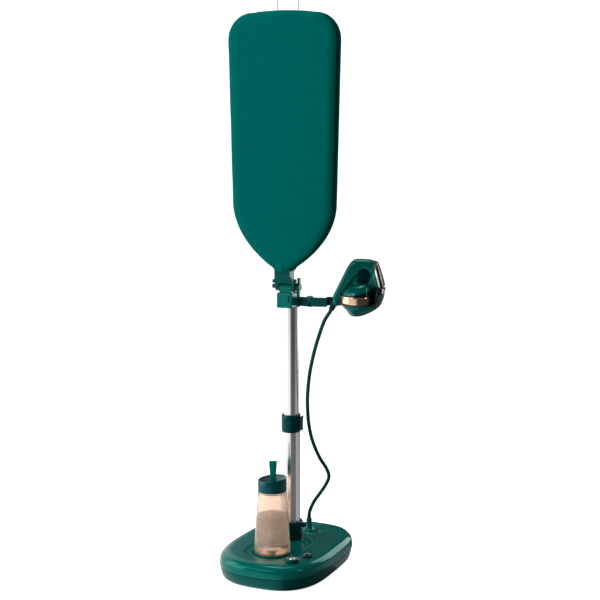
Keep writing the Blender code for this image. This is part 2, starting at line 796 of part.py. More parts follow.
# ================================================================ the head and the tilt hinge
def add_head(parts, cutters, looks):
    bore = UPPER_TUBE_RADIUS + GAP
    profile = [
        (0.0, HEAD_TOP_Z),
        (HEAD_RADIUS - 0.002, HEAD_TOP_Z),
        (HEAD_RADIUS, HEAD_TOP_Z - 0.002),
        (HEAD_RADIUS, HEAD_BOTTOM_Z),
        (0.0, HEAD_BOTTOM_Z),
    ]
    head = turned("mast_head", profile, parts, looks["gloss"], (0, 0, 0), 36)
    low = (-HEAD_NOSE_HALF, HEAD_NOSE_Y, HEAD_BOTTOM_Z + 0.0004)
    nose = link("head_nose", box_mesh(low, (HEAD_NOSE_HALF, 0.0, HEAD_NOSE_TOP_Z)), cutters)
    bevel(nose, 0.003)
    low = (-BARREL_HALF, TILT_Y - 0.0085, HEAD_NOSE_TOP_Z - 0.004)
    post = link("head_post", box_mesh(low, (BARREL_HALF, TILT_Y + 0.0085, TILT_Z)), cutters)
    ends = [(side * BARREL_HALF, TILT_Y, TILT_Z) for side in (-1, 1)]
    barrel = link("head_barrel", rod_mesh(BARREL_RADIUS, *ends, 24), cutters)
    join(head, nose, post, barrel)
    ends = [(side * 0.05, TILT_Y, TILT_Z) for side in (-1, 1)]
    pin_hole = link("pin_hole", rod_mesh(PIN_RADIUS + PIN_CLEARANCE, *ends, 16), cutters)
    tube_hole = rod_mesh(bore, (0, 0, 0.7), (0, 0, UPPER_TUBE_TOP_Z + GAP), 36)
    cut(head, pin_hole, link("tube_hole", tube_hole, cutters))

    add_bracket(parts, cutters, looks, pin_hole)
    reach = BARREL_HALF + GAP + EAR_THICK + GAP
    ends = [(-reach - 0.005, TILT_Y, TILT_Z), (reach + 0.006, TILT_Y, TILT_Z)]
    link("tilt_pin", rod_mesh(PIN_RADIUS, *ends, 16), parts, looks["steel"])
    ends = [(-reach - KNOB_THICK, TILT_Y, TILT_Z), (-reach, TILT_Y, TILT_Z)]
    cap = link("tilt_pin_cap", rod_mesh(0.006, *ends, 20, 0.0085), parts, looks["dark"])
    socket = [(-reach - 0.0055, TILT_Y, TILT_Z), (0, TILT_Y, TILT_Z)]
    cut(cap, link("pin_cap_bore", rod_mesh(PIN_RADIUS + GAP, *socket, 16), cutters))
    add_tilt_lever(parts, cutters, looks, reach)


def add_bracket(parts, cutters, looks, pin_hole):
    """Two ears on the hinge pin, a flange over them and the neck that carries the board."""
    low = (-FLANGE_HALF, NECK_FRONT_Y + 0.002, FLANGE_BOTTOM_Z)
    high = (FLANGE_HALF, NECK_REAR_Y + 0.002, FLANGE_TOP_Z)
    bracket = link("board_bracket", box_mesh(low, high), parts, looks["gloss"])
    pieces = []
    for side, name in ((-1, "left"), (1, "right")):
        inner = side * (BARREL_HALF + GAP)
        outer = inner + side * EAR_THICK
        ends = [(inner, TILT_Y, TILT_Z), (outer, TILT_Y, TILT_Z)]
        pieces.append(link(f"ear_{name}", rod_mesh(EAR_RADIUS, *ends, 28), cutters))
        x = sorted((inner, outer))
        low = (x[0], TILT_Y - EAR_RADIUS, TILT_Z)
        high = (x[1], TILT_Y + 0.002, FLANGE_BOTTOM_Z + 0.002)
        pieces.append(link(f"ear_{name}_web", box_mesh(low, high), cutters))
    low = (-NECK_HALF, NECK_FRONT_Y, FLANGE_TOP_Z - 0.003)
    high = (NECK_HALF, NECK_REAR_Y, NECK_TOP_Z)
    pieces.append(link("neck", box_mesh(low, high), cutters))
    join(bracket, *pieces)
    cut(bracket, pin_hole)


def add_tilt_lever(parts, cutters, looks, reach):
    """The cam lever that locks the tilt, turning on the pin's +X end."""
    start = reach
    ends = [(start, TILT_Y, TILT_Z), (start + KNOB_THICK, TILT_Y, TILT_Z)]
    lever = link("tilt_lever", rod_mesh(KNOB_RADIUS, *ends, 24), parts, looks["dark"])
    low = (start + 0.005, TILT_Y - 0.004, TILT_Z)
    high = (start + KNOB_THICK - 0.0015, TILT_Y + 0.006, TILT_Z + 0.027)
    blade = link("lever_blade", box_mesh(low, high), cutters)
    join(lever, blade)
    ends = [(start - 0.001, TILT_Y, TILT_Z), (start + 0.0065, TILT_Y, TILT_Z)]
    cut(lever, link("lever_bore", rod_mesh(PIN_RADIUS + GAP, *ends, 16), cutters))


# ================================================================ the board
def add_board(parts, cutters, looks):
    place = lambda u, v, w: (u, w, v)  # noqa: E731
    outline = board_outline()
    mesh = prism_mesh(outline, BOARD_FRONT_Y, BOARD_REAR_Y, place)
    cover = link("board_cover", mesh, parts, looks["fabric"])
    pocket = prism_mesh(board_outline(PAD_WALL), BOARD_FRONT_Y + PAD_THICK, 0.01, place)
    pocket = link("cover_pocket", pocket, cutters)
    low = (-NECK_HALF - 0.001, NECK_FRONT_Y - 0.001, 0.80)
    high = (NECK_HALF + 0.001, 0.01, NECK_TOP_Z + 0.001)
    neck_space = link("neck_space", box_mesh(low, high), cutters)
    cut(cover, pocket, neck_space)

    inset = PAD_WALL + GAP
    front = BOARD_FRONT_Y + PAD_THICK + GAP
    core = link("board_panel", prism_mesh(board_outline(inset), front, CORE_REAR_Y, place), parts)
    core.data.materials.append(looks["dark"])
    low = (-NECK_HALF - GAP, -0.2, 0.80)
    high = (NECK_HALF + GAP, NECK_REAR_Y + 0.0065, NECK_TOP_Z + GAP)
    notch = link("neck_notch", box_mesh(low, high), cutters)
    cut(core, notch)
    add_rib_pockets(core, cutters)


def add_rib_pockets(core, cutters):
    """Pockets in the panel's rear that leave a rim, a spine and cross ribs."""
    rear = CORE_REAR_Y - RIB_DEPTH
    rows = [(0.965, 1.130, 0.085), (1.150, 1.300, 0.128), (1.320, 1.470, 0.132)]
    for number, (low, high, half) in enumerate(rows):
        for side in (-1, 1):
            x = sorted((side * RIB_WALL, side * half))
            box = box_mesh((x[0], rear, low), (x[1], 0.01, high))
            cut(core, link(f"rib_pocket_{number}_{side + 1}", box, cutters))


def add_hook(parts, looks):
    """A wire hanger loop that slides in two clips behind the board's top."""
    corner = 0.012
    centres = [(HOOK_HALF - corner, HOOK_TOP_Z - corner), (-HOOK_HALF + corner, HOOK_TOP_Z - corner)]
    path = [(HOOK_HALF, HOOK_FOOT_Z), (HOOK_HALF, HOOK_TOP_Z - 2 * corner)]
    path += arc(centres[0], corner, 0, 90, 5) + arc(centres[1], corner, 90, 180, 5)
    path += [(-HOOK_HALF, HOOK_TOP_Z - 2 * corner), (-HOOK_HALF, HOOK_FOOT_Z)]
    points = [(x, HOOK_Y, z) for x, z in path]
    wire("hanger_hook", points, HOOK_WIRE, parts, looks["steel"])
    for side, name in ((-1, "left"), (1, "right")):
        x = side * HOOK_HALF
        low = (x - 0.006, CORE_REAR_Y + GAP, CLIP_Z - 0.010)
        high = (x + 0.006, HOOK_Y + 0.004, CLIP_Z + 0.010)
        clip = link(f"hook_clip_{name}", box_mesh(low, high), parts, looks["dark"])
        ends = [(x, HOOK_Y, CLIP_Z - 0.02), (x, HOOK_Y, CLIP_Z + 0.02)]
        bore = rod_mesh(HOOK_WIRE + GAP, *ends, 16)
        cut(clip, link(f"clip_bore_{name}", bore, bpy.data.collections["cutters"]))


# ================================================================ the arm, cradle and iron
def add_holder(parts, cutters, looks):
    low = (HEAD_RADIUS - 0.006, -ARM_HALF, ARM_BOTTOM_Z)
    high = (ARM_JOINT_X, ARM_HALF, ARM_TOP_Z)
    root = link("arm_root", box_mesh(low, high), parts, looks["dark"])
    ends = [(ARM_JOINT_X, 0, ARM_BOTTOM_Z), (ARM_JOINT_X, 0, ARM_TOP_Z)]
    eye = link("root_eye", rod_mesh(ARM_HALF, *ends, 24), cutters)
    middle = (ARM_BOTTOM_Z + ARM_TOP_Z) / 2
    ends = [(ARM_JOINT_X, 0, middle - GAP / 2), (ARM_JOINT_X, 0, ARM_TOP_Z + 0.01)]
    lap = link("root_lap", rod_mesh(ARM_HALF + 0.001, *ends, 24), cutters)
    ends = [(0, 0, 0.7), (0, 0, 0.9)]
    around = link("root_back", rod_mesh(HEAD_RADIUS + GAP, *ends, 48), cutters)
    bore = [(ARM_JOINT_X, 0, 0.7), (ARM_JOINT_X, 0, 0.9)]
    bore = link("screw_hole", rod_mesh(ARM_SCREW_RADIUS + GAP, *bore, 16), cutters)
    join(root, eye)
    cut(root, lap, around, bore)
    profile = [
        (0.0, ARM_TOP_Z + 0.0065),
        (0.0062, ARM_TOP_Z + 0.0055),
        (0.0100, ARM_TOP_Z + 0.0032),
        (0.0118, ARM_TOP_Z + 0.0010),
        (0.0118, ARM_TOP_Z + GAP),
        (ARM_SCREW_RADIUS, ARM_TOP_Z + GAP),
        (ARM_SCREW_RADIUS, ARM_BOTTOM_Z - 0.002),
        (0.0, ARM_BOTTOM_Z - 0.002),
    ]
    turned("arm_screw", profile, parts, looks["gloss"], (ARM_JOINT_X, 0, 0), 20)

    frame = bpy.data.objects.new("holder_frame", None)
    parts.objects.link(frame)
    frame.location = (ARM_JOINT_X, 0, 0)
    frame.rotation_euler = (0, 0, ARM_SWING)
    add_arm(parts, cutters, looks, frame, middle)
    add_cradle(parts, cutters, looks, frame)
    add_iron(parts, cutters, looks, frame)


def add_arm(parts, cutters, looks, frame, middle):
    """The outer arm: a lap over the screw, then a bar that ends behind the handle."""
    low, high = (0.0, -ARM_HALF, ARM_BOTTOM_Z), (ARM_LENGTH, ARM_HALF, ARM_TOP_Z)
    arm = link("holder_arm", box_mesh(low, high), parts, looks["gloss"], frame)
    eye = rod_mesh(ARM_HALF, (0, 0, ARM_BOTTOM_Z), (0, 0, ARM_TOP_Z), 24)
    lap = rod_mesh(ARM_HALF + 0.001, (0, 0, 0.7), (0, 0, middle + GAP / 2), 24)
    bore = rod_mesh(ARM_SCREW_RADIUS + GAP, (0, 0, 0.7), (0, 0, 0.9), 16)
    join(arm, link("arm_eye", eye, cutters, None, frame))
    cut(arm, link("arm_lap", lap, cutters, None, frame), link("arm_bore", bore, cutters, None, frame))


ARM_LENGTH = 0.050
BRIDGE_LAP = 0.014
BRIDGE_NEAR = 0.0185  # the bridge passes behind the handle between these depths
BRIDGE_FAR = 0.0300
BRIDGE_STEP = 0.080  # as tall as the arm up to here, then lower


def section(row, inset=0.0):
    """One level of the cradle: an oval between two ends, as (along, across, height)."""
    height, near, far, half = row
    return ellipse((near + far) / 2, (far - near) / 2 - inset, half - inset, height)


def add_cradle(parts, cutters, looks, frame):
    """A cup for the iron's heel, a raised wall at its far end and a bridge to the arm."""
    rows = [*CUP_SECTIONS, *BACK_SECTIONS[1:]]
    shape = loft_mesh([section(row) for row in rows])
    cup = link("iron_cradle", shape, parts, looks["gloss"], frame)
    floor = [(row[0] + CUP_WALL, *row[1:]) for row in CUP_SECTIONS[:2]]
    top = (BACK_SECTIONS[-1][0] + 0.001, *BACK_SECTIONS[-1][1:])
    rows = [*floor, *CUP_SECTIONS[2:], *BACK_SECTIONS[1:-1], top]
    hollow = loft_mesh([section(row, CUP_WALL) for row in rows])
    hollow = link("cup_hollow", hollow, cutters, None, frame)
    rim = CUP_SECTIONS[-1][0]
    trim = box_mesh((0.05, -0.08, rim), (BACK_START, 0.08, 0.90))
    trim = link("cup_back_trim", trim, cutters, None, frame)
    near, height = ARM_LENGTH - BRIDGE_LAP, (ARM_BOTTOM_Z, rim - 0.002)
    low, high = height
    step = [(0.118, low), (0.118, high), (BRIDGE_STEP, high), (BRIDGE_STEP, ARM_TOP_Z)]
    outline = [(near, low), *step, (near, ARM_TOP_Z)]
    place = lambda u, v, w: (u, w, v)  # noqa: E731
    bar = prism_mesh(outline, BRIDGE_NEAR, BRIDGE_FAR, place)
    bridge = link("bridge", bar, cutters, None, frame)
    low, high = (near + 0.0005, ARM_HALF + GAP, low + 0.0005), (ARM_LENGTH, BRIDGE_NEAR + 0.002, ARM_TOP_Z - 0.0005)
    tab = link("bridge_tab", box_mesh(low, high), cutters, None, frame)
    join(cup, bridge, tab)
    cut(cup, hollow, trim)


# ================================================================ the iron
def sole_point(across, along, depth):
    """A point on the leaning sole: depth counts from its outer face into the iron."""
    up = Vector((-math.sin(SOLE_LEAN), 0, math.cos(SOLE_LEAN)))
    inward = Vector((-math.cos(SOLE_LEAN), 0, -math.sin(SOLE_LEAN)))
    start = Vector((SOLE_HEEL[0], 0, SOLE_HEEL[1]))
    return start + up * along + inward * depth + Vector((0, across, 0))


def sole_plate(inset, near, far):
    return prism_mesh(sole_outline(inset), near, far, sole_point)


WAIST = [(0.1270, 0.8144), (0.1540, 0.8200), (0.1756, 0.8270), (0.1926, 0.8372)]  # where body and block meet
HANDLE_BACK = [(0.0790, 0.7800), (0.0886, 0.7930), (0.1026, 0.8150)]  # its rear face, foot first


def loop_outline():
    """The iron from the side, as (along the arm, height): handle, bridge and rear of the sole."""
    points = [(0.0655, 0.7865), (0.0662, 0.8080), (0.0757, 0.8292), (0.0889, 0.8563)]
    points += [(0.1020, 0.8832), (0.1120, 0.9010), (0.1210, 0.9120), (0.1310, 0.9180)]
    points += [(0.1750, 0.9175), (0.1820, 0.9150), (0.1960, 0.8400), (0.1850, 0.8250)]
    points += [(0.1120, 0.8250), *reversed(HANDLE_BACK)]
    return points


def opening_outline():
    """The finger scoop sunk into each side of the handle, with a web left between the two."""
    points = [(0.1340, 0.8655), (0.1420, 0.8820), (0.1480, 0.8900), (0.1560, 0.8925)]
    points += [(0.1660, 0.8905), (0.1745, 0.8830), (0.1775, 0.8700), (0.1755, 0.8560)]
    points += [(0.1680, 0.8460), (0.1500, 0.8440), (0.1400, 0.8500)]
    return points


def add_iron(parts, cutters, looks, frame):
    place = lambda u, v, w: (u, w, v)  # noqa: E731
    half = HANDLE_HALF
    body = link("iron_body", prism_mesh(loop_outline(), -half, half, place), parts, looks["gloss"], frame)
    bevel(body, HANDLE_ROUNDING, 2, 50.0)
    top = RING_TOP_Z + GAP
    rings = [
        ellipse(HEEL_CENTRE, HEEL_HALF_LONG, HEEL_HALF_WIDE, top),
        ellipse(HEEL_CENTRE + 0.002, HEEL_HALF_LONG - 0.003, HEEL_HALF_WIDE - 0.003, top + 0.014),
        ellipse(HEEL_CENTRE + 0.008, HEEL_HALF_LONG - 0.012, HEEL_HALF_WIDE - 0.010, top + 0.026),
        ellipse(HEEL_CENTRE + 0.016, HEEL_HALF_LONG - 0.024, HEEL_HALF_WIDE - 0.022, top + 0.034),
    ]
    bell = link("body_bell", loft_mesh(rings), cutters, None, frame)
    near = SOLE_THICK + SKIRT_THICK + 2 * GAP
    hood = link("body_hood", sole_plate(0.004, near, near + HOOD_THICK), cutters, None, frame)
    join(body, bell, hood)
    scoops = [prism_mesh(opening_outline(), *span, place) for span in ((-0.06, -WEB_HALF), (WEB_HALF, 0.06))]
    beyond = sole_plate(-0.030, near - 0.030, near)
    heater_space = sole_plate(0.012, near - 0.001, near + HEATER_THICK + GAP)
    outline = [*WAIST, (0.24, WAIST[-1][1]), (0.24, 0.78), (WAIST[0][0], 0.78)]
    block_space = prism_mesh(outline, -0.06, 0.06, place)
    names = {"scoop_near": scoops[0], "scoop_far": scoops[1]}
    names |= {"sole_side": beyond, "heater_space": heater_space}
    names["block_space"] = block_space
    cut(body, *[link(name, mesh, cutters, None, frame) for name, mesh in names.items()])
    heater = sole_plate(0.012 + GAP, near + GAP, near + HEATER_THICK)
    link("iron_heater", heater, parts, looks["steel"], frame)
    skirt = sole_plate(0.002, SOLE_THICK + GAP, SOLE_THICK + GAP + SKIRT_THICK)
    link("sole_skirt", skirt, parts, looks["dark"], frame)
    link("soleplate", sole_plate(0.0, 0.0, SOLE_THICK), parts, looks["sole"], frame)
    add_heel(parts, cutters, looks, frame)
    add_handle_fittings(parts, cutters, looks, frame, body)


def add_heel(parts, cutters, looks, frame):
    low, long, wide = RING_BOTTOM_Z, HEEL_HALF_LONG, HEEL_HALF_WIDE
    shape = loft_mesh([section(row) for row in RING_SECTIONS])
    ring = link("heel_ring", shape, parts, looks["copper"], frame)
    back = [(u + 0.0005, v) for u, v in HANDLE_BACK]
    outline = [(0.04, 0.75), (back[0][0], 0.75), *back, (back[-1][0], 0.84), (0.04, 0.84)]
    place = lambda u, v, w: (u, w, v)  # noqa: E731
    room = link("handle_room", prism_mesh(outline, -0.06, 0.06, place), cutters, None, frame)
    cut(ring, room)
    rings = [
        ellipse(HEEL_CENTRE + 0.004, long - 0.024, wide - 0.022, HEEL_FOOT_Z),
        ellipse(HEEL_CENTRE + 0.004, long - 0.014, wide - 0.013, low - GAP),
    ]
    link("heel_cap", loft_mesh(rings), parts, looks["dark"], frame)
    add_heel_block(parts, cutters, looks, frame)


def add_heel_block(parts, cutters, looks, frame):
    """The dark block between the heel ring and the sole's heel; it stands in the cradle."""
    inset = CUP_WALL + CUP_PLAY
    rows = [*CUP_SECTIONS[-2:], *BACK_SECTIONS[1:-1], (BLOCK_TOP_Z, *BACK_SECTIONS[-1][1:])]
    block = loft_mesh([section(row, inset) for row in rows])
    block = link("heel_block", block, parts, looks["dark"], frame)
    low, top = RING_BOTTOM_Z - 0.01, RING_TOP_Z + GAP
    rings = [
        ellipse(HEEL_CENTRE, HEEL_HALF_LONG + GAP, HEEL_HALF_WIDE + GAP, low),
        ellipse(HEEL_CENTRE, HEEL_HALF_LONG + GAP, HEEL_HALF_WIDE + GAP, top),
    ]
    ring_room = link("ring_room", loft_mesh(rings), cutters, None, frame)
    line = [(u + GAP, v - GAP) for u, v in WAIST]
    outline = [*line, (0.23, BLOCK_TOP_Z), (0.23, 0.77), (WAIST[0][0] + GAP, 0.77)]
    place = lambda u, v, w: (u, w, v)  # noqa: E731
    region = link("block_region", prism_mesh(outline, -0.06, 0.06, place), cutters, None, frame)
    combine(block, region, "INTERSECT")
    low = (HEEL_CENTRE - 0.05, -0.06, RING_BOTTOM_Z - 0.02)
    high = (HEEL_CENTRE + HEEL_HALF_LONG - 0.001, 0.06, top)
    beside = link("ring_sides", box_mesh(low, high), cutters, None, frame)
    cut(block, ring_room, beside)


def add_handle_fittings(parts, cutters, looks, frame, body):
    along = Vector((math.sin(HANDLE_DIRECTION), 0, math.cos(HANDLE_DIRECTION)))
    foot = Vector((HANDLE_FOOT[0], 0, HANDLE_FOOT[1]))
    end = foot - along * (SLEEVE_LENGTH - 0.006)
    sleeve = rod_mesh(HOSE_RADIUS + 0.0022, end, foot + along * 0.004, 24, SLEEVE_RADIUS)
    sleeve = link("hose_sleeve", sleeve, parts, looks["rubber"], frame)
    bore = rod_mesh(HOSE_RADIUS + GAP, end - along * 0.01, foot, 24)
    cut(sleeve, link("sleeve_bore", bore, cutters, None, frame))
    seat = rod_mesh(SLEEVE_RADIUS + GAP, foot - along * 0.03, foot + along * (0.004 + GAP), 24)
    cut(body, link("sleeve_seat", seat, cutters, None, frame))
    start = TRIGGER_PLACE - TRIGGER_WAY * 0.004
    mesh = rod_mesh(TRIGGER_RADIUS, start, TRIGGER_PLACE + TRIGGER_WAY * 0.005, 20)
    trigger = link("steam_trigger", mesh, parts, looks["dark"], frame)
    well = rod_mesh(TRIGGER_RADIUS + GAP, start - TRIGGER_WAY * 0.0045, TRIGGER_PLACE + TRIGGER_WAY * 0.012, 20)
    cut(body, link("trigger_well", well, cutters, None, frame))
    bevel(trigger, 0.001, 1)


TRIGGER_WAY = Vector((math.cos(HANDLE_DIRECTION), 0, -math.sin(HANDLE_DIRECTION)))
TRIGGER_PLACE = Vector((0.1385, 0, 0.8760))


# ================================================================ the hose
def add_hose(parts, looks):
    along = Vector((math.sin(HANDLE_DIRECTION), 0, math.cos(HANDLE_DIRECTION)))
    turn = Matrix.Rotation(ARM_SWING, 3, "Z")
    foot = Vector((HANDLE_FOOT[0], 0, HANDLE_FOOT[1])) - along * GAP
    place = Vector((ARM_JOINT_X, 0, 0))
    straight = [place + turn @ (foot - along * back) for back in (0.027, 0.014, 0.0)]
    points = through([*HOSE_ROUTE, straight[0]], HOSE_SPACING) + straight[1:]
    wire("steam_hose", points, HOSE_RADIUS, parts, looks["rubber"], 2)


# ================================================================ everything
def make_looks():
    return {
        "gloss": material("green gloss plastic", (0.0, 0.105, 0.088), 0.18),
        "dark": material("dark green plastic", (0.004, 0.030, 0.030), 0.35),
        "rubber": material("black rubber", (0.008, 0.016, 0.015), 0.6),
        "aluminium": material("anodised aluminium", (0.80, 0.81, 0.82), 0.3, 1.0),
        "steel": material("steel", (0.55, 0.56, 0.57), 0.35, 1.0),
        "chrome": material("bright metal", (0.85, 0.88, 0.90), 0.12, 1.0),
        "copper": material("rose gold metal", (0.80, 0.52, 0.36), 0.22, 1.0),
        "sole": material("polished soleplate", (0.72, 0.68, 0.62), 0.18, 1.0),
        "bottle": material("amber clear plastic", (0.85, 0.62, 0.45), 0.12),
        "fabric": material("green cotton", (0.0, 0.115, 0.105), 0.9),
    }


def main():
    clear_scene()
    parts = new_collection("steam_ironing_station")
    cutters = new_collection("cutters")
    looks = make_looks()
    add_base(parts, cutters, looks)
    add_base_insides(parts, cutters, looks)
    add_controls(parts, looks)
    add_hose_outlet(parts, looks)
    add_bottle(parts, cutters, looks)
    add_mast(parts, cutters, looks)
    add_head(parts, cutters, looks)
    add_board(parts, cutters, looks)
    add_hook(parts, looks)
    add_holder(parts, cutters, looks)
    add_hose(parts, looks)
    for cutter in cutters.objects:
        cutter.hide_render = True
        cutter.display_type = "WIRE"


main()
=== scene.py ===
"""Upright steam ironing station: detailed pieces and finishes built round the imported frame."""

import math

import bmesh
import bpy
from bpy.props import FloatProperty, FloatVectorProperty, IntProperty, PointerProperty
from bpy.types import Operator, Panel, PropertyGroup
from mathutils import Matrix, Vector


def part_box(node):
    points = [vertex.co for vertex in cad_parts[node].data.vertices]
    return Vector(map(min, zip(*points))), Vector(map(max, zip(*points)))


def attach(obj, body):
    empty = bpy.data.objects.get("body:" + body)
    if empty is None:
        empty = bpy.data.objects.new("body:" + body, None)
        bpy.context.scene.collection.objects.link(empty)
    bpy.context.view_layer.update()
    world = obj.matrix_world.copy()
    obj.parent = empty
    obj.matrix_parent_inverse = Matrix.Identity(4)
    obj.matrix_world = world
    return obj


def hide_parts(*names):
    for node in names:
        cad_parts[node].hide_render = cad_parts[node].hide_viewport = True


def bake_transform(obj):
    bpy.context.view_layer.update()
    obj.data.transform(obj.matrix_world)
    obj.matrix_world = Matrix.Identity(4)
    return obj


bl_info = {
    "name": "Steam ironing station",
    "version": (1, 0, 0),
    "blender": (4, 5, 0),
    "location": "3D View > Sidebar > Station",
    "description": "Builds an upright steam ironing station round its packed frame",
    "category": "Object",
}

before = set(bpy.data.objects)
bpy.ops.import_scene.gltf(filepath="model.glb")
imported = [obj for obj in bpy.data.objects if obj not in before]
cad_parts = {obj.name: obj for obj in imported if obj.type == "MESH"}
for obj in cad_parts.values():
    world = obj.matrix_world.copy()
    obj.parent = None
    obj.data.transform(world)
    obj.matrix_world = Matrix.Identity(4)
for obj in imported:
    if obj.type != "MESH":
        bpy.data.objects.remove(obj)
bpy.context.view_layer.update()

GAP = 0.0003
AXIS_RADIUS = 0.00001  # a turned piece never quite closes on its axis
HOLDER_SWING = math.radians(17.0)
HOLDER = Matrix.Translation((0.060, 0.0, 0.0)) @ Matrix.Rotation(HOLDER_SWING, 4, "Z")
BOTTLE_Y = -0.129
CAP_TURN = math.radians(25.0)
CAP_SLANT = math.radians(6.0)


# ---------------------------------------------------------------- settings
def colour_setting(name, description, default):
    return FloatVectorProperty(
        name=name, description=description, default=default, min=0.0, max=1.0, size=3, subtype="COLOR"
    )


class StationColours(PropertyGroup):
    """Colours of the station's finishes."""

    gloss: colour_setting("Gloss green", "Moulded gloss plastic", (0.0, 0.125, 0.105))
    shade: colour_setting("Dark green", "Satin plastic of the fittings", (0.001, 0.030, 0.031))
    cotton: colour_setting("Cotton", "Cover of the ironing board", (0.0, 0.128, 0.115))
    hose: colour_setting("Hose", "Rubber of the steam hose", (0.004, 0.045, 0.038))
    bottle: colour_setting("Bottle", "Tint of the clear bottle", (0.98, 0.83, 0.72))
    rose_gold: colour_setting("Rose gold", "Metal band round the iron's heel", (0.82, 0.55, 0.38))


class StationSizes(PropertyGroup):
    """Sizes that shape the detailed pieces."""

    hose_radius: FloatProperty(
        name="Hose radius", description="Outside radius of the steam hose", default=0.0055, unit="LENGTH"
    )
    pad_swell: FloatProperty(
        name="Pad swell", description="Most that the padding may rise", default=0.0045, unit="LENGTH"
    )
    water_level: FloatProperty(
        name="Water level", description="Height of the water in the bottle", default=0.182, unit="LENGTH"
    )
    dial_flutes: IntProperty(name="Dial flutes", description="Grooves round the steam dial", default=36)


# ---------------------------------------------------------------- mesh making
def joined(shapes):
    """Several (verts, faces) as one."""
    verts, faces = [], []
    for some_verts, some_faces in shapes:
        start = len(verts)
        verts += list(some_verts)
        faces += [tuple(i + start for i in face) for face in some_faces]
    return verts, faces


def loft(rings, closed=True, caps=(True, True)):
    """Skin through rings of equally many points."""
    verts = [Vector(p) for ring in rings for p in ring]
    count = len(rings[0])
    faces = []
    for level in range(len(rings) - 1):
        low, high = level * count, (level + 1) * count
        for i in range(count if closed else count - 1):
            j = (i + 1) % count
            faces.append((low + i, low + j, high + j, high + i))
    if closed and caps[0]:
        faces.append(tuple(reversed(range(count))))
    if closed and caps[1]:
        last = (len(rings) - 1) * count
        faces.append(tuple(range(last, last + count)))
    return verts, faces


def turned_rings(profile, centre, steps, ripple, least):
    """Rings of a (radius, height) profile turned round Z; ripple(angle, k) scales ring k."""
    rings = []
    for k, (radius, height) in enumerate(profile):
        ring = []
        for i in range(steps):
            angle = 2 * math.pi * i / steps
            r = max(radius, least) * (ripple(angle, k) if ripple else 1.0)
            x, y = centre[0] + r * math.cos(angle), centre[1] + r * math.sin(angle)
            ring.append((x, y, centre[2] + height))
        rings.append(ring)
    return rings


def lathe(profile, centre=(0.0, 0.0, 0.0), steps=64, ripple=None):
    """A solid turned round Z."""
    return loft(turned_rings(profile, centre, steps, ripple, AXIS_RADIUS))


def ring_lathe(profile, centre=(0.0, 0.0, 0.0), steps=64, ripple=None):
    """A closed profile turned round Z into a ring with a hole."""
    rings = turned_rings([*profile, profile[0]], centre, steps, ripple, 0.0)
    return loft(rings, caps=(False, False))


def tube(points, radius, sides=14):
    """A round tube along points, its ring kept from twisting."""
    points = [Vector(p) for p in points]
    radii = radius if isinstance(radius, list) else [radius] * len(points)
    way = (points[1] - points[0]).normalized()
    side = way.orthogonal().normalized()
    rings = []
    for k, point in enumerate(points):
        before, after = points[max(0, k - 1)], points[min(len(points) - 1, k + 1)]
        new_way = (after - before).normalized()
        side = (way.rotation_difference(new_way) @ side).normalized()
        way = new_way
        other = way.cross(side)
        ring = []
        for i in range(sides):
            angle = 2 * math.pi * i / sides
            ring.append(point + (side * math.cos(angle) + other * math.sin(angle)) * radii[k])
        rings.append(ring)
    return loft(rings)


def through(points, spacing):
    """Evenly spaced points on a smooth curve through the given ones."""
    points = [Vector(p) for p in points]
    ends = [2 * points[0] - points[1], *points, 2 * points[-1] - points[-2]]
    fine = []
    for i in range(1, len(ends) - 2):
        a, b, c, d = ends[i - 1 : i + 3]
        for k in range(16):
            t = k / 16
            bend = (2 * a - 5 * b + 4 * c - d) * t**2 + (3 * b - a - 3 * c + d) * t**3
            fine.append(0.5 * (2 * b + (c - a) * t + bend))
    fine.append(points[-1])
    lengths = [0.0]
    for a, b in zip(fine, fine[1:]):
        lengths.append(lengths[-1] + (b - a).length)
    count = max(2, round(lengths[-1] / spacing))
    spaced, at = [], 0
    for k in range(count + 1):
        want = lengths[-1] * k / count
        while at < len(lengths) - 2 and lengths[at + 1] < want:
            at += 1
        share = (want - lengths[at]) / (lengths[at + 1] - lengths[at])
        spaced.append(fine[at].lerp(fine[at + 1], min(1.0, share)))
    return spaced


def smoothstep(low, high, value):
    t = max(0.0, min(1.0, (value - low) / (high - low)))
    return t * t * (3 - 2 * t)


def mixed(table, value):
    """A row read out of a table of (key, a, b, ...) rows at value, in between where needed."""
    if value <= table[0][0]:
        return table[0][1:]
    for low, high in zip(table, table[1:]):
        if value <= high[0]:
            share = (value - low[0]) / (high[0] - low[0])
            return [a + (b - a) * share for a, b in zip(low[1:], high[1:])]
    return table[-1][1:]


def new_piece(name, shape, finish, matrix=None, sharp=38.0):
    """An object in the row frame made of (verts, faces)."""
    verts, faces = shape
    mesh = bpy.data.meshes.new(name)
    mesh.from_pydata([tuple(v) for v in verts], [], faces)
    bm = bmesh.new()
    bm.from_mesh(mesh)
    bmesh.ops.remove_doubles(bm, verts=bm.verts, dist=0.000004)
    bmesh.ops.recalc_face_normals(bm, faces=bm.faces)
    if matrix is not None:
        bm.transform(matrix)
    if bm.calc_volume(signed=True) < 0:
        bmesh.ops.reverse_faces(bm, faces=bm.faces)
    bm.to_mesh(mesh)
    bm.free()
    mesh.shade_smooth()
    mesh.set_sharp_from_angle(angle=math.radians(sharp))
    piece = bpy.data.objects.new(name, mesh)
    bpy.context.scene.collection.objects.link(piece)
    mesh.materials.append(finish)
    return piece


def settle(piece, body, slot, *nodes):
    """The piece rides on a body and stands for CAD nodes, which it hides; the slot is not used."""
    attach(piece, body)
    if nodes:
        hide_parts(*nodes)
    return piece


def rounded(piece, width, segments=3, angle=35.0):
    made = piece.modifiers.new("rounded edges", "BEVEL")
    made.width = width
    made.segments = segments
    made.limit_method = "ANGLE"
    made.angle_limit = math.radians(angle)
    made.harden_normals = True
    return piece


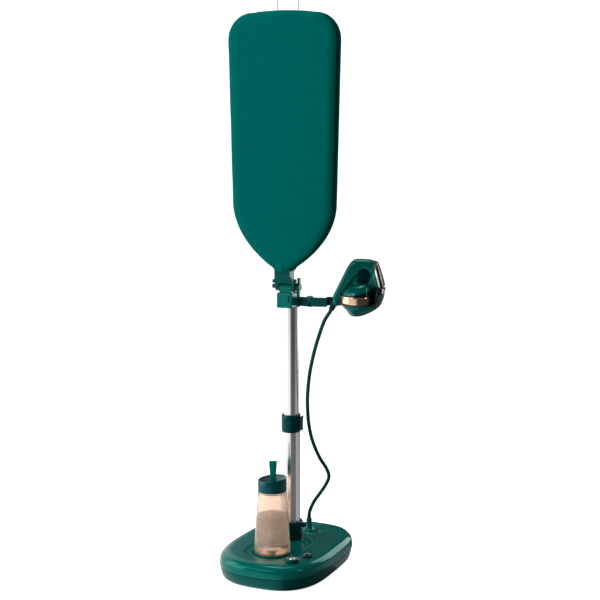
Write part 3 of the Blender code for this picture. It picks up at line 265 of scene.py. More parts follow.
def applied(piece):
    """Bakes the piece's modifiers into its mesh."""
    depsgraph = bpy.context.evaluated_depsgraph_get()
    mesh = bpy.data.meshes.new_from_object(piece.evaluated_get(depsgraph))
    piece.modifiers.clear()
    piece.data = mesh
    return piece


def fused(name, shapes, finish, voxel, rounds, matrix=None):
    """Overlapping shapes melted into one skin with soft fillets."""
    piece = new_piece(name, joined(shapes), finish, matrix)
    melt = piece.modifiers.new("melt", "REMESH")
    melt.mode = "VOXEL"
    melt.voxel_size = voxel
    melt.use_smooth_shade = True
    ease = piece.modifiers.new("ease", "SMOOTH")
    ease.factor = 0.5
    ease.iterations = rounds
    applied(piece)
    piece.data.shade_smooth()
    return piece


# ---------------------------------------------------------------- shared shader groups
def new_group(name, inputs, outputs):
    group = bpy.data.node_groups.new(name, "ShaderNodeTree")
    kinds = {"colour": "NodeSocketColor", "value": "NodeSocketFloat", "vector": "NodeSocketVector"}
    for label, kind, default in inputs:
        socket = group.interface.new_socket(label, in_out="INPUT", socket_type=kinds[kind])
        socket.default_value = default
    for label, kind in outputs:
        group.interface.new_socket(label, in_out="OUTPUT", socket_type=kinds[kind])
    entry = group.nodes.new("NodeGroupInput")
    leave = group.nodes.new("NodeGroupOutput")
    return group, entry.outputs, leave.inputs


def wire_up(tree, node_type, links=(), **settings):
    """A node with its inputs linked or set; links maps an input to a socket or a value."""
    node = tree.nodes.new(node_type)
    for key, value in settings.items():
        setattr(node, key, value)
    for key, value in dict(links).items():
        if isinstance(value, bpy.types.NodeSocket):
            tree.links.new(value, node.inputs[key])
        else:
            node.inputs[key].default_value = value
    return node


def maths(tree, operation, a, b=0.0, clamp=False):
    return wire_up(tree, "ShaderNodeMath", {0: a, 1: b}, operation=operation, use_clamp=clamp).outputs[0]


def blend_colour(tree, share, a, b, mode="MIX"):
    node = wire_up(tree, "ShaderNodeMix", {"Factor": share}, data_type="RGBA", blend_type=mode)
    for name, value in (("A", a), ("B", b)):
        socket = next(s for s in node.inputs if s.name == name and s.type == "RGBA")
        if isinstance(value, bpy.types.NodeSocket):
            tree.links.new(value, socket)
        else:
            socket.default_value = value
    return next(s for s in node.outputs if s.type == "RGBA")


def noise(tree, where, scale, detail=2.0):
    node = wire_up(tree, "ShaderNodeTexNoise", {"Vector": where, "Scale": scale, "Detail": detail})
    return node.outputs["Fac"]


def here(tree):
    return tree.nodes.new("ShaderNodeTexCoord").outputs["Object"]


def put_colour(group, given, bright, out):
    """The group's colour, made lighter or darker by a value that changes over the surface."""
    shade = wire_up(group, "ShaderNodeVectorMath", {0: given["Colour"], "Scale": bright}, operation="SCALE")
    group.links.new(shade.outputs[0], out["Colour"])


def make_moulding_group():
    """Moulded plastic: faint flow marks, fine grain and a little handling grime."""
    inputs = [("Colour", "colour", (0.5, 0.5, 0.5, 1.0)), ("Roughness", "value", 0.3)]
    inputs += [("Variation", "value", 0.06), ("Grain", "value", 900.0)]
    outputs = [("Colour", "colour"), ("Roughness", "value"), ("Height", "value")]
    group, given, out = new_group("moulded plastic", inputs, outputs)
    place = here(group)
    broad = noise(group, place, 9.0, 3.0)
    smudge = noise(group, place, 38.0, 4.0)
    fine = noise(group, place, given["Grain"], 1.0)
    off = maths(group, "SUBTRACT", broad, 0.5)
    swing = maths(group, "MULTIPLY", off, given["Variation"])
    bright = maths(group, "ADD", swing, 1.0)
    put_colour(group, given, bright, out)
    print_mark = maths(group, "MULTIPLY", maths(group, "SUBTRACT", smudge, 0.5), 0.16)
    grain = maths(group, "MULTIPLY", maths(group, "SUBTRACT", fine, 0.5), 0.10)
    rough = maths(group, "ADD", given["Roughness"], maths(group, "ADD", print_mark, grain), True)
    group.links.new(rough, out["Roughness"])
    group.links.new(fine, out["Height"])
    return group


def make_weave_group():
    """Plain cotton weave: crossing threads, mottled dye and a soft nap."""
    inputs = [
        ("Colour", "colour", (0.5, 0.5, 0.5, 1.0)), ("Threads", "value", 700.0), ("Mottle", "value", 0.2),
    ]
    outputs = [("Colour", "colour"), ("Roughness", "value"), ("Height", "value")]
    group, given, out = new_group("cotton weave", inputs, outputs)
    place = here(group)
    split = wire_up(group, "ShaderNodeSeparateXYZ", {"Vector": place}).outputs
    waves = []
    for axis in ("X", "Z"):
        turn = maths(group, "MULTIPLY", split[axis], given["Threads"])
        waves.append(maths(group, "ABSOLUTE", maths(group, "SINE", turn)))
    cross = maths(group, "MULTIPLY", waves[0], waves[1])
    fuzz = noise(group, place, 420.0, 2.0)
    cloud = noise(group, place, 26.0, 4.0)
    fleck = noise(group, place, 150.0, 2.0)
    mottle = maths(group, "ADD", maths(group, "MULTIPLY", cloud, 0.55), maths(group, "MULTIPLY", fleck, 0.45))
    swing = maths(group, "MULTIPLY", maths(group, "SUBTRACT", mottle, 0.5), given["Mottle"])
    dip = maths(group, "MULTIPLY", maths(group, "SUBTRACT", cross, 0.4), 0.10)
    bright = maths(group, "ADD", maths(group, "ADD", swing, dip), 1.0)
    put_colour(group, given, bright, out)
    rough = maths(group, "ADD", maths(group, "MULTIPLY", fuzz, 0.12), 0.80, True)
    group.links.new(rough, out["Roughness"])
    height = maths(group, "ADD", cross, maths(group, "MULTIPLY", fuzz, 0.6))
    group.links.new(height, out["Height"])
    return group


def make_brush_group():
    """Drawn or brushed metal: long streaks along the height, with faint tarnish."""
    inputs = [
        ("Colour", "colour", (0.8, 0.8, 0.8, 1.0)), ("Roughness", "value", 0.3),
        ("Streak", "value", 0.12),
    ]
    outputs = [("Colour", "colour"), ("Roughness", "value"), ("Height", "value")]
    group, given, out = new_group("drawn metal", inputs, outputs)
    place = here(group)
    stretch = wire_up(
        group, "ShaderNodeVectorMath", {0: place, 1: (900.0, 900.0, 14.0)}, operation="MULTIPLY",
    )
    streak = noise(group, stretch.outputs[0], 1.0, 2.0)
    tarnish = noise(group, place, 17.0, 3.0)
    swing = maths(group, "MULTIPLY", maths(group, "SUBTRACT", streak, 0.5), given["Streak"])
    dull = maths(group, "MULTIPLY", maths(group, "SUBTRACT", tarnish, 0.5), 0.06)
    bright = maths(group, "ADD", maths(group, "ADD", swing, dull), 1.0)
    put_colour(group, given, bright, out)
    rough = maths(group, "ADD", given["Roughness"], swing, True)
    group.links.new(rough, out["Roughness"])
    group.links.new(streak, out["Height"])
    return group


GROUPS = {}
FINISHES = {}


def shader_of(material):
    return material.node_tree.nodes["Principled BSDF"]


def grouped_finish(name, group, given, bump, depth, **fixed):
    """A material whose colour, roughness and bump come from a shared group."""
    if name in FINISHES:
        return FINISHES[name]
    material = bpy.data.materials.new(name)
    material.use_nodes = True
    tree = material.node_tree
    shader = shader_of(material)
    node = tree.nodes.new("ShaderNodeGroup")
    node.node_tree = GROUPS[group]
    for key, value in given.items():
        node.inputs[key].default_value = value
    tree.links.new(node.outputs["Colour"], shader.inputs["Base Color"])
    tree.links.new(node.outputs["Roughness"], shader.inputs["Roughness"])
    ridge = tree.nodes.new("ShaderNodeBump")
    ridge.inputs["Strength"].default_value = bump
    ridge.inputs["Distance"].default_value = depth
    tree.links.new(node.outputs["Height"], ridge.inputs["Height"])
    tree.links.new(ridge.outputs["Normal"], shader.inputs["Normal"])
    for key, value in fixed.items():
        shader.inputs[key.replace("_", " ").title().replace("Ior", "IOR")].default_value = value
    FINISHES[name] = material
    return material


def rgba(colour):
    return (colour[0], colour[1], colour[2], 1.0)


def scaled(colour, share):
    return tuple(min(1.0, c * share) for c in colour)


def moulded(name, colour, roughness, variation=0.06, coat=0.0, bump=0.04):
    given = {"Colour": rgba(colour), "Roughness": roughness, "Variation": variation}
    top = max(0.05, *colour)
    tint = tuple(c / top for c in colour)
    glint = {"coat_weight": coat * 0.35, "coat_roughness": 0.06, "specular_tint": rgba(tint)}
    return grouped_finish(name, "moulding", given, bump, 0.0003, specular_ior_level=0.42, **glint)


def metal(name, colour, roughness, streak=0.12, bump=0.03):
    given = {"Colour": rgba(colour), "Roughness": roughness, "Streak": streak}
    return grouped_finish(name, "brush", given, bump, 0.0002, metallic=1.0)


def cotton(name, colour, threads=2600.0, mottle=0.22):
    given = {"Colour": rgba(colour), "Threads": threads, "Mottle": mottle}
    return grouped_finish(name, "weave", given, 0.35, 0.0004, specular_ior_level=0.0)


def clear(name, colour, roughness, transmission, ior=1.46):
    """Clear or frosted plastic and water, with plain values on the shader."""
    if name in FINISHES:
        return FINISHES[name]
    material = bpy.data.materials.new(name)
    material.use_nodes = True
    shader = shader_of(material)
    shader.inputs["Base Color"].default_value = rgba(colour)
    shader.inputs["Transmission Weight"].default_value = transmission
    shader.inputs["IOR"].default_value = ior
    tree = material.node_tree
    haze = noise(tree, here(tree), 60.0, 3.0)
    rough = maths(tree, "ADD", maths(tree, "MULTIPLY", haze, 0.05), roughness, True)
    tree.links.new(rough, shader.inputs["Roughness"])
    FINISHES[name] = material
    return material


# ---------------------------------------------------------------- outlines shared with the frame
BASE_HALF_WIDTH, BASE_FRONT, BASE_REAR = 0.160, 0.192, 0.228
BASE_WIDEST_Y = -0.060
BASE_FRONT_POWER, BASE_REAR_POWER = 2.7, 4.2
REAR_LEFT_DRAWN_IN = 0.0070


def base_point(angle, inset):
    c, s = math.cos(angle), math.sin(angle)
    power = BASE_REAR_POWER if s > 0 else BASE_FRONT_POWER
    reach = (BASE_REAR if s > 0 else BASE_FRONT) - inset
    x = math.copysign(abs(c) ** (2 / power), c) * (BASE_HALF_WIDTH - inset)
    y = math.copysign(abs(s) ** (2 / power), s) * reach
    if x < 0:
        x += REAR_LEFT_DRAWN_IN * smoothstep(0.0, 0.16, y) * (-x / BASE_HALF_WIDTH)
    return x, BASE_WIDEST_Y + y


def base_ring(inset, height, count=176):
    return [(*base_point(2 * math.pi * i / count, inset), height) for i in range(count)]


BOARD_TOP, BOARD_TAPER, BOARD_TIP = 1.615, 1.080, 0.878
BOARD_HALF_TOP, BOARD_HALF_TAPER = 0.167, 0.156
BOARD_CORNER, BOARD_CROWN, TIP_POWER = 0.075, 0.006, 0.85
BOARD_FRONT_Y = -0.070


def board_half(inset, count):
    """The board's outline from the top centre down the +X side to the tip."""
    top, corner = BOARD_TOP - inset, BOARD_CORNER - inset
    half_top, half_taper = BOARD_HALF_TOP - inset, BOARD_HALF_TAPER - inset
    path = []
    centre = (half_top - corner, top - BOARD_CROWN - corner)
    for k in range(9):
        share = k / 8
        path.append((centre[0] * share, top - BOARD_CROWN * share * share))
    for k in range(1, 25):
        angle = math.radians(90 - 90 * k / 24)
        path.append((centre[0] + corner * math.cos(angle), centre[1] + corner * math.sin(angle)))
    for k in range(1, 21):
        share = k / 20
        path.append(
            (half_top + (half_taper - half_top) * share, centre[1] + (BOARD_TAPER - centre[1]) * share)
        )
    reach = BOARD_TAPER - BOARD_TIP - inset
    for k in range(1, 61):
        u = math.sin(math.pi / 2 * k / 60)
        path.append((half_taper * max(0.0, 1 - u * u) ** TIP_POWER, BOARD_TAPER - u * reach))
    lengths = [0.0]
    for a, b in zip(path, path[1:]):
        lengths.append(lengths[-1] + math.dist(a, b))
    points, at = [], 0
    for k in range(count + 1):
        want = lengths[-1] * k / count
        while at < len(path) - 2 and lengths[at + 1] < want:
            at += 1
        share = (want - lengths[at]) / (lengths[at + 1] - lengths[at])
        a, b = path[at], path[at + 1]
        points.append((a[0] + (b[0] - a[0]) * share, a[1] + (b[1] - a[1]) * share))
    return points


def board_loop(inset, count=90):
    """The whole outline as (x, z), closed, without repeating its ends."""
    right = board_half(inset, count)
    left = [(-x, z) for x, z in reversed(right[1:-1])]
    return right + left


# ---------------------------------------------------------------- hose
HOSE_ROUTE = [
    (0.0180, 0.0900, 0.1115),
    (0.0190, 0.0890, 0.1260),
    (0.0255, 0.0865, 0.1450),
    (0.0375, 0.0860, 0.1690),
    (0.0560, 0.0875, 0.1960),
    (0.0750, 0.0880, 0.2260),
    (0.0845, 0.0865, 0.2510),
    (0.0805, 0.0775, 0.2770),
    (0.0635, 0.0620, 0.3150),
    (0.0485, 0.0450, 0.3680),
    (0.0425, 0.0320, 0.4220),
    (0.0422, 0.0240, 0.4760),
    (0.0455, 0.0180, 0.5180),
    (0.0536, 0.0130, 0.5750),
    (0.0670, 0.0110, 0.6350),
    (0.0820, 0.0130, 0.6880),
    (0.0980, 0.0170, 0.7350),
]
HANDLE_LEAN = math.radians(27.0)
HANDLE_WAY = Vector((math.sin(HANDLE_LEAN), 0.0, math.cos(HANDLE_LEAN)))
HANDLE_FOOT = Vector((0.0700, 0.0, 0.786))


def hose_points():
    foot = HANDLE_FOOT - HANDLE_WAY * GAP
    straight = [HOLDER @ (foot - HANDLE_WAY * back) for back in (0.027, 0.014, 0.0)]
    return through([*HOSE_ROUTE, straight[0]], 0.0062) + straight[1:]


def make_hose(colours, sizes):
    finish = moulded("hose rubber", colours.hose, 0.34, 0.10, 0.15, 0.06)
    path = hose_points()
    hose = new_piece("steam_hose_tube", tube(path, sizes.hose_radius, 16), finish, sharp=60.0)
    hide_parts("steam_hose")
    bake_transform(hose)
    slack = [HOLDER @ (HANDLE_FOOT + HANDLE_WAY * step) for step in (-0.0115, -0.008, -0.0045, -0.001)]
    filler = new_piece("hose_top_run", tube(slack, sizes.hose_radius - 0.0003, 16), finish)
    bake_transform(filler)


# ---------------------------------------------------------------- base
BASE_SIDE = [
    (-0.0015, 0.0364),
    (-0.0036, 0.0376),
    (-0.0040, 0.0400),
    (-0.0032, 0.0480),
    (-0.0018, 0.0560),
    (-0.0006, 0.0604),
    (0.0006, 0.0628),
    (0.0022, 0.0642),
    (0.0040, 0.0662),
    (0.0068, 0.0690),
    (0.0104, 0.0714),
    (0.0160, 0.0734),
    (0.0230, 0.0744),
    (0.0300, 0.0747),
]
DECK_Z = 0.0752
WELL_DEPTH, WELL_RADIUS = 0.0026, 0.080
SEAT_RADIUS = 0.0562
REAR_RIGHT_RISE = 0.0065


def deck_height(x, y):
    """Height of the base's top: a long well round bottle and mast, with a seat for each."""
    z = DECK_Z
    nearest = max(BOTTLE_Y, min(-0.012, y))
    reach = math.hypot(x, y - nearest)
    z -= WELL_DEPTH * (1 - smoothstep(WELL_RADIUS - 0.005, WELL_RADIUS + 0.002, reach))
    bottle = math.hypot(x, y - BOTTLE_Y)
    z -= 0.0078 * (1 - smoothstep(SEAT_RADIUS - 0.001, SEAT_RADIUS + 0.0015, bottle))
    mast = math.hypot(x, y)
    z += 0.0042 * smoothstep(0.058, 0.044, mast)
    vent = math.hypot(x - 0.046, y - 0.088)
    z -= 0.0030 * smoothstep(0.0105, 0.0060, vent)
    lamp = math.hypot(x - 0.118, y - 0.030)
    z -= 0.0008 * smoothstep(0.0038, 0.0024, lamp)
    z += REAR_RIGHT_RISE * smoothstep(0.110, 0.165, y) * smoothstep(-0.060, 0.060, x)
    return z


def make_base(colours):
    gloss = moulded("green gloss moulding", colours.gloss, 0.13, 0.07, 0.5, 0.02)
    count = 176
    rings = []
    for inset, z in BASE_SIDE:
        ring = base_ring(inset, z, count)
        lift = smoothstep(0.0600, 0.0747, z)
        far = [deck_height(math.copysign(0.16, x), y) - DECK_Z for x, y, _ in ring]
        rings.append([(x, y, z + rise * lift) for (x, y, z), rise in zip(ring, far)])
    inner = BASE_SIDE[-1][0]
    middle = (0.0, -0.050)
    rows = 74
    for k in range(1, rows + 1):
        share = 1 - k / rows
        ring = []
        for i in range(count):
            x, y = base_point(2 * math.pi * i / count, inner)
            x = middle[0] + (x - middle[0]) * share
            y = middle[1] + (y - middle[1]) * share
            z = BASE_SIDE[-1][1] + (deck_height(x, y) - DECK_Z)
            ring.append((x, y, z))
        rings.append(ring)
    lip = [base_ring(0.004, 0.0364, count)]
    cover = new_piece("base_top_moulding", loft(lip + rings, caps=(False, False)), gloss, sharp=55.0)
    settle(cover, "base", "green_gloss", "base_cover")

    lower = moulded("green gloss lower moulding", scaled(colours.gloss, 0.50), 0.26, 0.08, 0.20, 0.02)
    profile = [(0.060, 0.0), (0.0150, 0.0), (0.0095, 0.0010), (0.0050, 0.0045), (0.0022, 0.0110)]
    profile += [(-0.0004, 0.0220), (-0.0026, 0.0330), (-0.0024, 0.0352), (-0.0010, 0.0358), (0.0040, 0.0358)]
    rings = [base_ring(inset, z, count) for inset, z in profile]
    pan = new_piece("base_lower_moulding", loft(rings), lower, sharp=55.0)
    settle(pan, "base", "dark_plastic", "base_pan")


def make_base_fittings(colours):
    dark = moulded("dark green satin moulding", colours.shade, 0.28, 0.08, 0.2)
    gloss = moulded("green gloss moulding", colours.gloss, 0.13)
    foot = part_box("hose_outlet")[0][2]
    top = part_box("hose_outlet")[1][2]
    bore = 0.0058
    profile = [(bore, top - 0.0006), (bore + 0.0006, top), (bore + 0.0018, top), (bore + 0.0024, top - 0.001)]
    table = [
        (0.0, 0.0080), (0.35, 0.0084), (0.60, 0.0092), (0.76, 0.0108), (0.86, 0.0134), (0.94, 0.0178),
        (1.0, 0.0236),
    ]
    for k in range(1, 15):
        share = k / 14
        profile.append((mixed(table, share)[0], top - 0.001 - (top - 0.001 - foot - 0.0004) * share))
    profile += [(0.0232, foot), (bore, foot)]
    outlet = new_piece("hose_outlet_cone", ring_lathe(profile, (0.018, 0.090, 0.0), 64), gloss)
    settle(outlet, "base", "green_gloss", "hose_outlet")

    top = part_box("mast_socket")[1][2]
    radius = 0.0365
    bore = 0.0265
    profile = [
        (bore, top), (radius - 0.0050, top), (radius - 0.0030, top - 0.0008),
        (radius - 0.0016, top - 0.0026),
    ]
    profile += [
        (radius - 0.0012, top - 0.0150), (radius - 0.0022, top - 0.0158), (radius - 0.0022, top - 0.0176),
    ]
    profile += [(radius - 0.0010, top - 0.0184), (radius, 0.0800), (radius, 0.0620), (bore, 0.0620)]
    collar = new_piece("mast_socket_ring", ring_lathe(profile, steps=80), dark)
    settle(collar, "base", "dark_plastic", "mast_socket")
    grip = make_grip("socket_screw_knob", (0.0370, 0.0, top - 0.0095), 0.0074, 0.0115, dark)
    settle(grip, "socket_screw", "dark_plastic", "socket_screw")


def make_grip(name, start, radius, length, finish):
    """A small fluted thumb knob pointing along +X from start."""
    profile = [(0.0, 0.0), (radius * 0.80, 0.0), (radius * 0.80, 0.0016), (radius, 0.0024)]
    profile += [
        (radius, length - 0.0020), (radius * 0.86, length - 0.0006), (radius * 0.70, length),
        (0.0, length),
    ]

    def flutes(angle, k):
        return 1.0 - (0.06 * (0.5 + 0.5 * math.cos(12 * angle)) if 2 < k < 5 else 0.0)

    shape = lathe(profile, steps=72, ripple=flutes)
    turn = Matrix.Translation(start) @ Matrix.Rotation(math.radians(90.0), 4, "Y")
    return new_piece(name, shape, finish, turn)


def make_controls(colours, sizes):
    dark = moulded("dark green satin moulding", colours.shade, 0.28, 0.08, 0.2)
    bright = metal("bright turned metal", (0.88, 0.90, 0.92), 0.12, 0.06)
    # This pale finish serves the dial's printed marks and also the painted highlight on the power button.
    mark = moulded("pale print and painted highlight", (0.72, 0.80, 0.80), 0.4)
    centre = (0.090, -0.186, 0.0)
    foot = 0.0755
    profile = [(0.0033, foot), (0.0196, foot), (0.0205, foot + 0.0010), (0.0203, foot + 0.0062)]
    profile += [
        (0.0192, foot + 0.0088), (0.0176, foot + 0.0104), (0.0155, foot + 0.0108),
        (0.0128, foot + 0.0098),
    ]
    profile += [
        (0.0104, foot + 0.0092), (0.0098, foot + 0.0092), (0.0098, foot + 0.0045),
        (0.0033, foot + 0.0045),
    ]

    def flutes(angle, k):
        depth = 0.030 if 1 <= k <= 3 else 0.0
        return 1.0 - depth * (0.5 + 0.5 * math.cos(sizes.dial_flutes * angle)) ** 2

    ring = new_piece("steam_dial_ring", ring_lathe(profile, centre, 144, flutes), dark)
    settle(ring, "dial", "dark_plastic", "steam_dial")
    cap_foot = foot + 0.0048
    profile = [(0.0, cap_foot), (0.0094, cap_foot), (0.0094, foot + 0.0086), (0.0088, foot + 0.0098)]
    profile += [
        (0.0078, foot + 0.0103), (0.0060, foot + 0.0100), (0.0030, foot + 0.0096), (0.0, foot + 0.0095),
    ]
    cap = new_piece("dial_cap_disc", lathe(profile, centre, 64), bright)
    settle(cap, "dial", "bright", "dial_cap")
    bars = []
    for angle in (-150, -115, -80, -45, -10):
        bars.append(mark_bar(centre, math.radians(angle), 0.0145, 0.0180, foot + 0.0098))
    marks = new_piece("dial_marks", joined(bars), mark)
    settle(marks, "dial", "bright")

    centre = (0.113, -0.132, 0.0)
    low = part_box("power_button")[0][2]
    top = 0.0752
    profile = [
        (0.0, low), (0.0150, low), (0.0154, low + 0.001), (0.0154, top + 0.0050), (0.0146, top + 0.0068),
    ]
    profile += [(0.0132, top + 0.0074), (0.0116, top + 0.0068), (0.0080, top + 0.0052), (0.0, top + 0.0046)]
    button = new_piece("power_button_cap", lathe(profile, centre, 72), dark)
    settle(button, "button", "dark_plastic", "power_button")
    # Painted highlight: a thin pale arc round the button's upper-left rim stands for light catching its edge.
    highlight_arc = []
    for k in range(19):
        angle = math.radians(60 + 170 * k / 18)
        highlight_arc.append((centre[0] + 0.0098 * math.cos(angle), centre[1] + 0.0098 * math.sin(angle), top + 0.0062))
    glow = new_piece("power_button_painted_highlight", tube(highlight_arc, 0.0007, 8), mark)
    settle(glow, "button", "bright")


def mark_bar(centre, angle, near, far, height):
    """A short raised bar on the dial, pointing outward."""
    out = Vector((math.cos(angle), math.sin(angle), 0.0))
    side = Vector((-out.y, out.x, 0.0)) * 0.0009
    foot = Vector((centre[0], centre[1], 0.0))
    rings = []
    for height_now, shrink in ((height - 0.0010, 1.0), (height + 0.0008, 1.0), (height + 0.0011, 0.7)):
        up = Vector((0.0, 0.0, height_now))
        a, b = foot + out * near + up, foot + out * far + up
        rings.append([a - side * shrink, b - side * shrink, b + side * shrink, a + side * shrink])
    return loft(rings)


# ---------------------------------------------------------------- bottle
def make_bottle(colours, sizes):
    tint = clear("amber clear plastic", colours.bottle, 0.07, 0.86)
    low, high = 0.0715, 0.2560
    foot, shoulder, wall, neck = 0.0530, 0.0418, 0.0020, 0.0310
    mouth = high + 0.014
    outside = [
        (neck, mouth), (neck, high + 0.0012), (shoulder - 0.0045, high - 0.0002),
        (shoulder - 0.0015, high - 0.0012),
    ]
    outside += [(shoulder, high - 0.0036)]
    for k in range(1, 13):
        share = k / 12
        outside.append(
            (shoulder + (foot - shoulder) * share, high - 0.0036 - (high - 0.0036 - low - 0.012) * share)
        )
    outside += [(foot - 0.0002, low + 0.0080), (foot - 0.0016, low + 0.0038), (foot - 0.0044, low + 0.0012)]
    outside += [(foot - 0.0085, low), (0.0118, low)]
    inside = [(0.0118, low + 0.0030), (foot - 0.0090, low + 0.0030), (foot - 0.0050, low + 0.0050)]
    inside += [
        (foot - wall, low + 0.0125), (shoulder - wall, high - 0.0044), (shoulder - 0.0060, high - 0.0024),
    ]
    inside += [(neck - wall, high - 0.0005), (neck - wall, mouth)]
    bottle = new_piece("water_bottle_shell", ring_lathe(outside + inside, (0, BOTTLE_Y, 0), 96), tint)
    settle(bottle, "bottle", "bottle_clear", "water_bottle")

    water = clear("tinted water", (0.97, 0.80, 0.68), 0.02, 0.86, 1.33)
    level = sizes.water_level
    slope = (foot - shoulder) / (high - low)
    side = foot - wall - 0.0004 - slope * (level - low - 0.0125)
    profile = [(0.0122, low + 0.0034), (foot - 0.0096, low + 0.0034), (foot - 0.0056, low + 0.0054)]
    profile += [
        (foot - wall - 0.0004, low + 0.0129), (side, level - 0.0006), (side - 0.0012, level),
        (0.0, level),
    ]
    profile += [(0.0, low + 0.0108), (0.0122, low + 0.0108)]
    fill = new_piece("bottle_water", ring_lathe(profile, (0, BOTTLE_Y, 0), 80), water)
    settle(fill, "bottle", "bottle_clear")

    dark = moulded("dark green satin moulding", colours.shade, 0.28, 0.08, 0.2)
    frame_turn = Matrix.Translation((0, BOTTLE_Y, 0)) @ Matrix.Rotation(CAP_TURN, 4, "Z")
    make_cap(frame_turn, high, shoulder, neck, mouth)
    profile = [(0.0112, low + 0.0040), (0.0090, low + 0.0100), (0.0, low + 0.0100), (0.0, low - 0.0060)]
    profile += [(0.0108, low - 0.0060), (0.0110, low - 0.0050)]
    valve = new_piece(
        "bottle_valve_plug",
        lathe(list(reversed(profile[:3])) + list(reversed(profile[3:])), (0, BOTTLE_Y, 0), 40), dark,
    )
    settle(valve, "bottle", "dark_plastic", "bottle_valve")


def make_cap(turn, high, shoulder, neck, mouth):
    """The slant-topped cap with a sunken lid and a looped strap."""
    finish = moulded("cap moulding", (0.002, 0.050, 0.058), 0.22, 0.08, 0.3)
    low = high + 0.0006
    steps = 96
    lift = 0.0365
    rows = [(neck + 0.0004, 0.0, False), (shoulder - 0.0010, 0.0, False), (shoulder, 0.0010, False)]
    rows += [(shoulder - 0.0004, lift - 0.0030, True), (shoulder - 0.0014, lift - 0.0006, True)]
    rows += [(shoulder - 0.0034, lift, True), (shoulder - 0.0052, lift - 0.0006, True)]
    rows += [
        (shoulder - 0.0062, lift - 0.0026, True), (shoulder - 0.0082, lift - 0.0034, True),
        (0.0, lift - 0.0034, True),
    ]
    rings = []
    for radius, height, slanted in rows:
        ring = []
        for i in range(steps):
            angle = 2 * math.pi * i / steps
            r = max(radius, AXIS_RADIUS)
            x, y = r * math.cos(angle), r * math.sin(angle)
            z = low + height + (x * math.tan(CAP_SLANT) if slanted else 0.0)
            ring.append((x, y, z))
        rings.append(ring)
    bore = neck + 0.0004
    inner = []
    for i in range(steps):
        angle = 2 * math.pi * i / steps
        inner.append((bore * math.cos(angle), bore * math.sin(angle), mouth + 0.0004))
    cap = new_piece("bottle_cap_shell", loft([inner, *rings]), finish, turn)
    settle(cap, "cap", "dark_plastic", "bottle_cap")
    strap_finish = moulded("strap rubber", (0.0, 0.165, 0.120), 0.36, 0.08)
    half, thick, gap, tall = 0.0112, 0.0022, 0.0062, 0.0535
    path = [(gap + thick / 2, -0.002)]
    top_z = tall - gap - thick
    for k in range(17):
        angle = math.radians(180 * k / 16)
        path.append(((gap + thick / 2) * math.cos(angle), top_z + (gap + thick / 2) * math.sin(angle)))
    path.append((-gap - thick / 2, -0.002))
    rings = []
    for k, (u, v) in enumerate(path):
        before, after = path[max(0, k - 1)], path[min(len(path) - 1, k + 1)]
        way = Vector((after[0] - before[0], after[1] - before[1])).normalized()
        out = Vector((way.y, -way.x))
        ring = []
        pinch = 1.0 - 0.34 * smoothstep(0.034, 0.006, v)
        for w, t in ((-1, -0.6), (-0.9, -1), (0.9, -1), (1, -0.6), (1, 0.6), (0.9, 1), (-0.9, 1), (-1, 0.6)):
            place = Vector((u, v)) + out * (t * thick / 2)
            ring.append((w * half * pinch + 0.0025, place.x, place.y + low + lift - 0.002))
        rings.append(ring)
    strap = new_piece("cap_strap_loop", loft(rings), strap_finish, turn)
    settle(strap, "cap", "green_gloss", "cap_strap")


# ---------------------------------------------------------------- mast
def make_mast(colours):
    finish = metal("drawn aluminium", (0.90, 0.91, 0.92), 0.20, 0.05, 0.015)
    for node, body in (("lower_tube", "base"), ("upper_tube", "mast")):
        low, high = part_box(node)
        radius = high[0]
        wall = 0.0015
        profile = [(radius - wall, high[2] - 0.0004), (radius - 0.0010, high[2]), (radius - 0.0004, high[2])]
        profile += [(radius, high[2] - 0.0004), (radius, low[2] + 0.0004), (radius - 0.0004, low[2])]
        profile += [(radius - 0.0010, low[2]), (radius - wall, low[2] + 0.0004)]
        piece = new_piece(node + "_sleeve", ring_lathe(profile, steps=96), finish)
        settle(piece, body, "tube_metal", node)
    dark = moulded("dark green satin moulding", colours.shade, 0.28, 0.08, 0.2)
    low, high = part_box("height_collar")
    low, high, radius = low[2], high[2], high[0]
    slide = 0.0229
    profile = [
        (slide, high), (radius - 0.0026, high), (radius - 0.0010, high - 0.0008),
        (radius - 0.0002, high - 0.0026),
    ]
    profile += [
        (radius - 0.0002, high - 0.0130), (radius - 0.0012, high - 0.0138),
        (radius - 0.0012, high - 0.0150),
    ]
    profile += [(radius, high - 0.0158), (radius, low + 0.0120), (radius - 0.0010, low + 0.0112)]
    profile += [
        (radius - 0.0010, low + 0.0100), (radius - 0.0002, low + 0.0092), (radius - 0.0006, low + 0.0014),
    ]
    profile += [(radius - 0.0016, low), (0.0265, low), (0.0265, 0.4283), (slide, 0.4283)]
    collar = new_piece("height_collar_ring", ring_lathe(profile, steps=96), dark)
    settle(collar, "base", "dark_plastic", "height_collar")
    low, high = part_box("collar_lever")
    near = low[0] + 0.0012
    outline = [(near, 0.4100), (near + 0.0020, 0.4075), (near + 0.0046, 0.4078), (near + 0.0060, 0.4105)]
    outline += [
        (near + 0.0056, 0.4300), (near + 0.0060, 0.4400), (near + 0.0088 - 0.0014, 0.4500),
        (near + 0.0078, 0.4518),
    ]
    outline += [(near + 0.0056, 0.4522), (near + 0.0036, 0.4490), (near + 0.0012, 0.4420), (near, 0.4360)]
    rings = [[(x, y, z) for x, z in outline] for y in (-0.0076, 0.0076)]
    lever = new_piece("collar_lever_blade", loft(rings), dark)
    rounded(lever, 0.0011, 3)
    settle(lever, "collar_lever", "dark_plastic", "collar_lever")


# ---------------------------------------------------------------- board
def pad_mesh():
    """The pad's plump slab: a round shoulder at the front and a small one behind."""
    front, rear = BOARD_FRONT_Y + 0.0010, BOARD_FRONT_Y + 0.0155
    profile = [(0.0115, front), (0.0070, front + 0.0004), (0.0034, front + 0.0018), (0.0006, front + 0.0042)]
    profile += [
        (-0.0012, front + 0.0072), (-0.0020, front + 0.0100), (-0.0018, rear - 0.0018), (0.0004, rear),
    ]
    return loft(board_rings(profile))


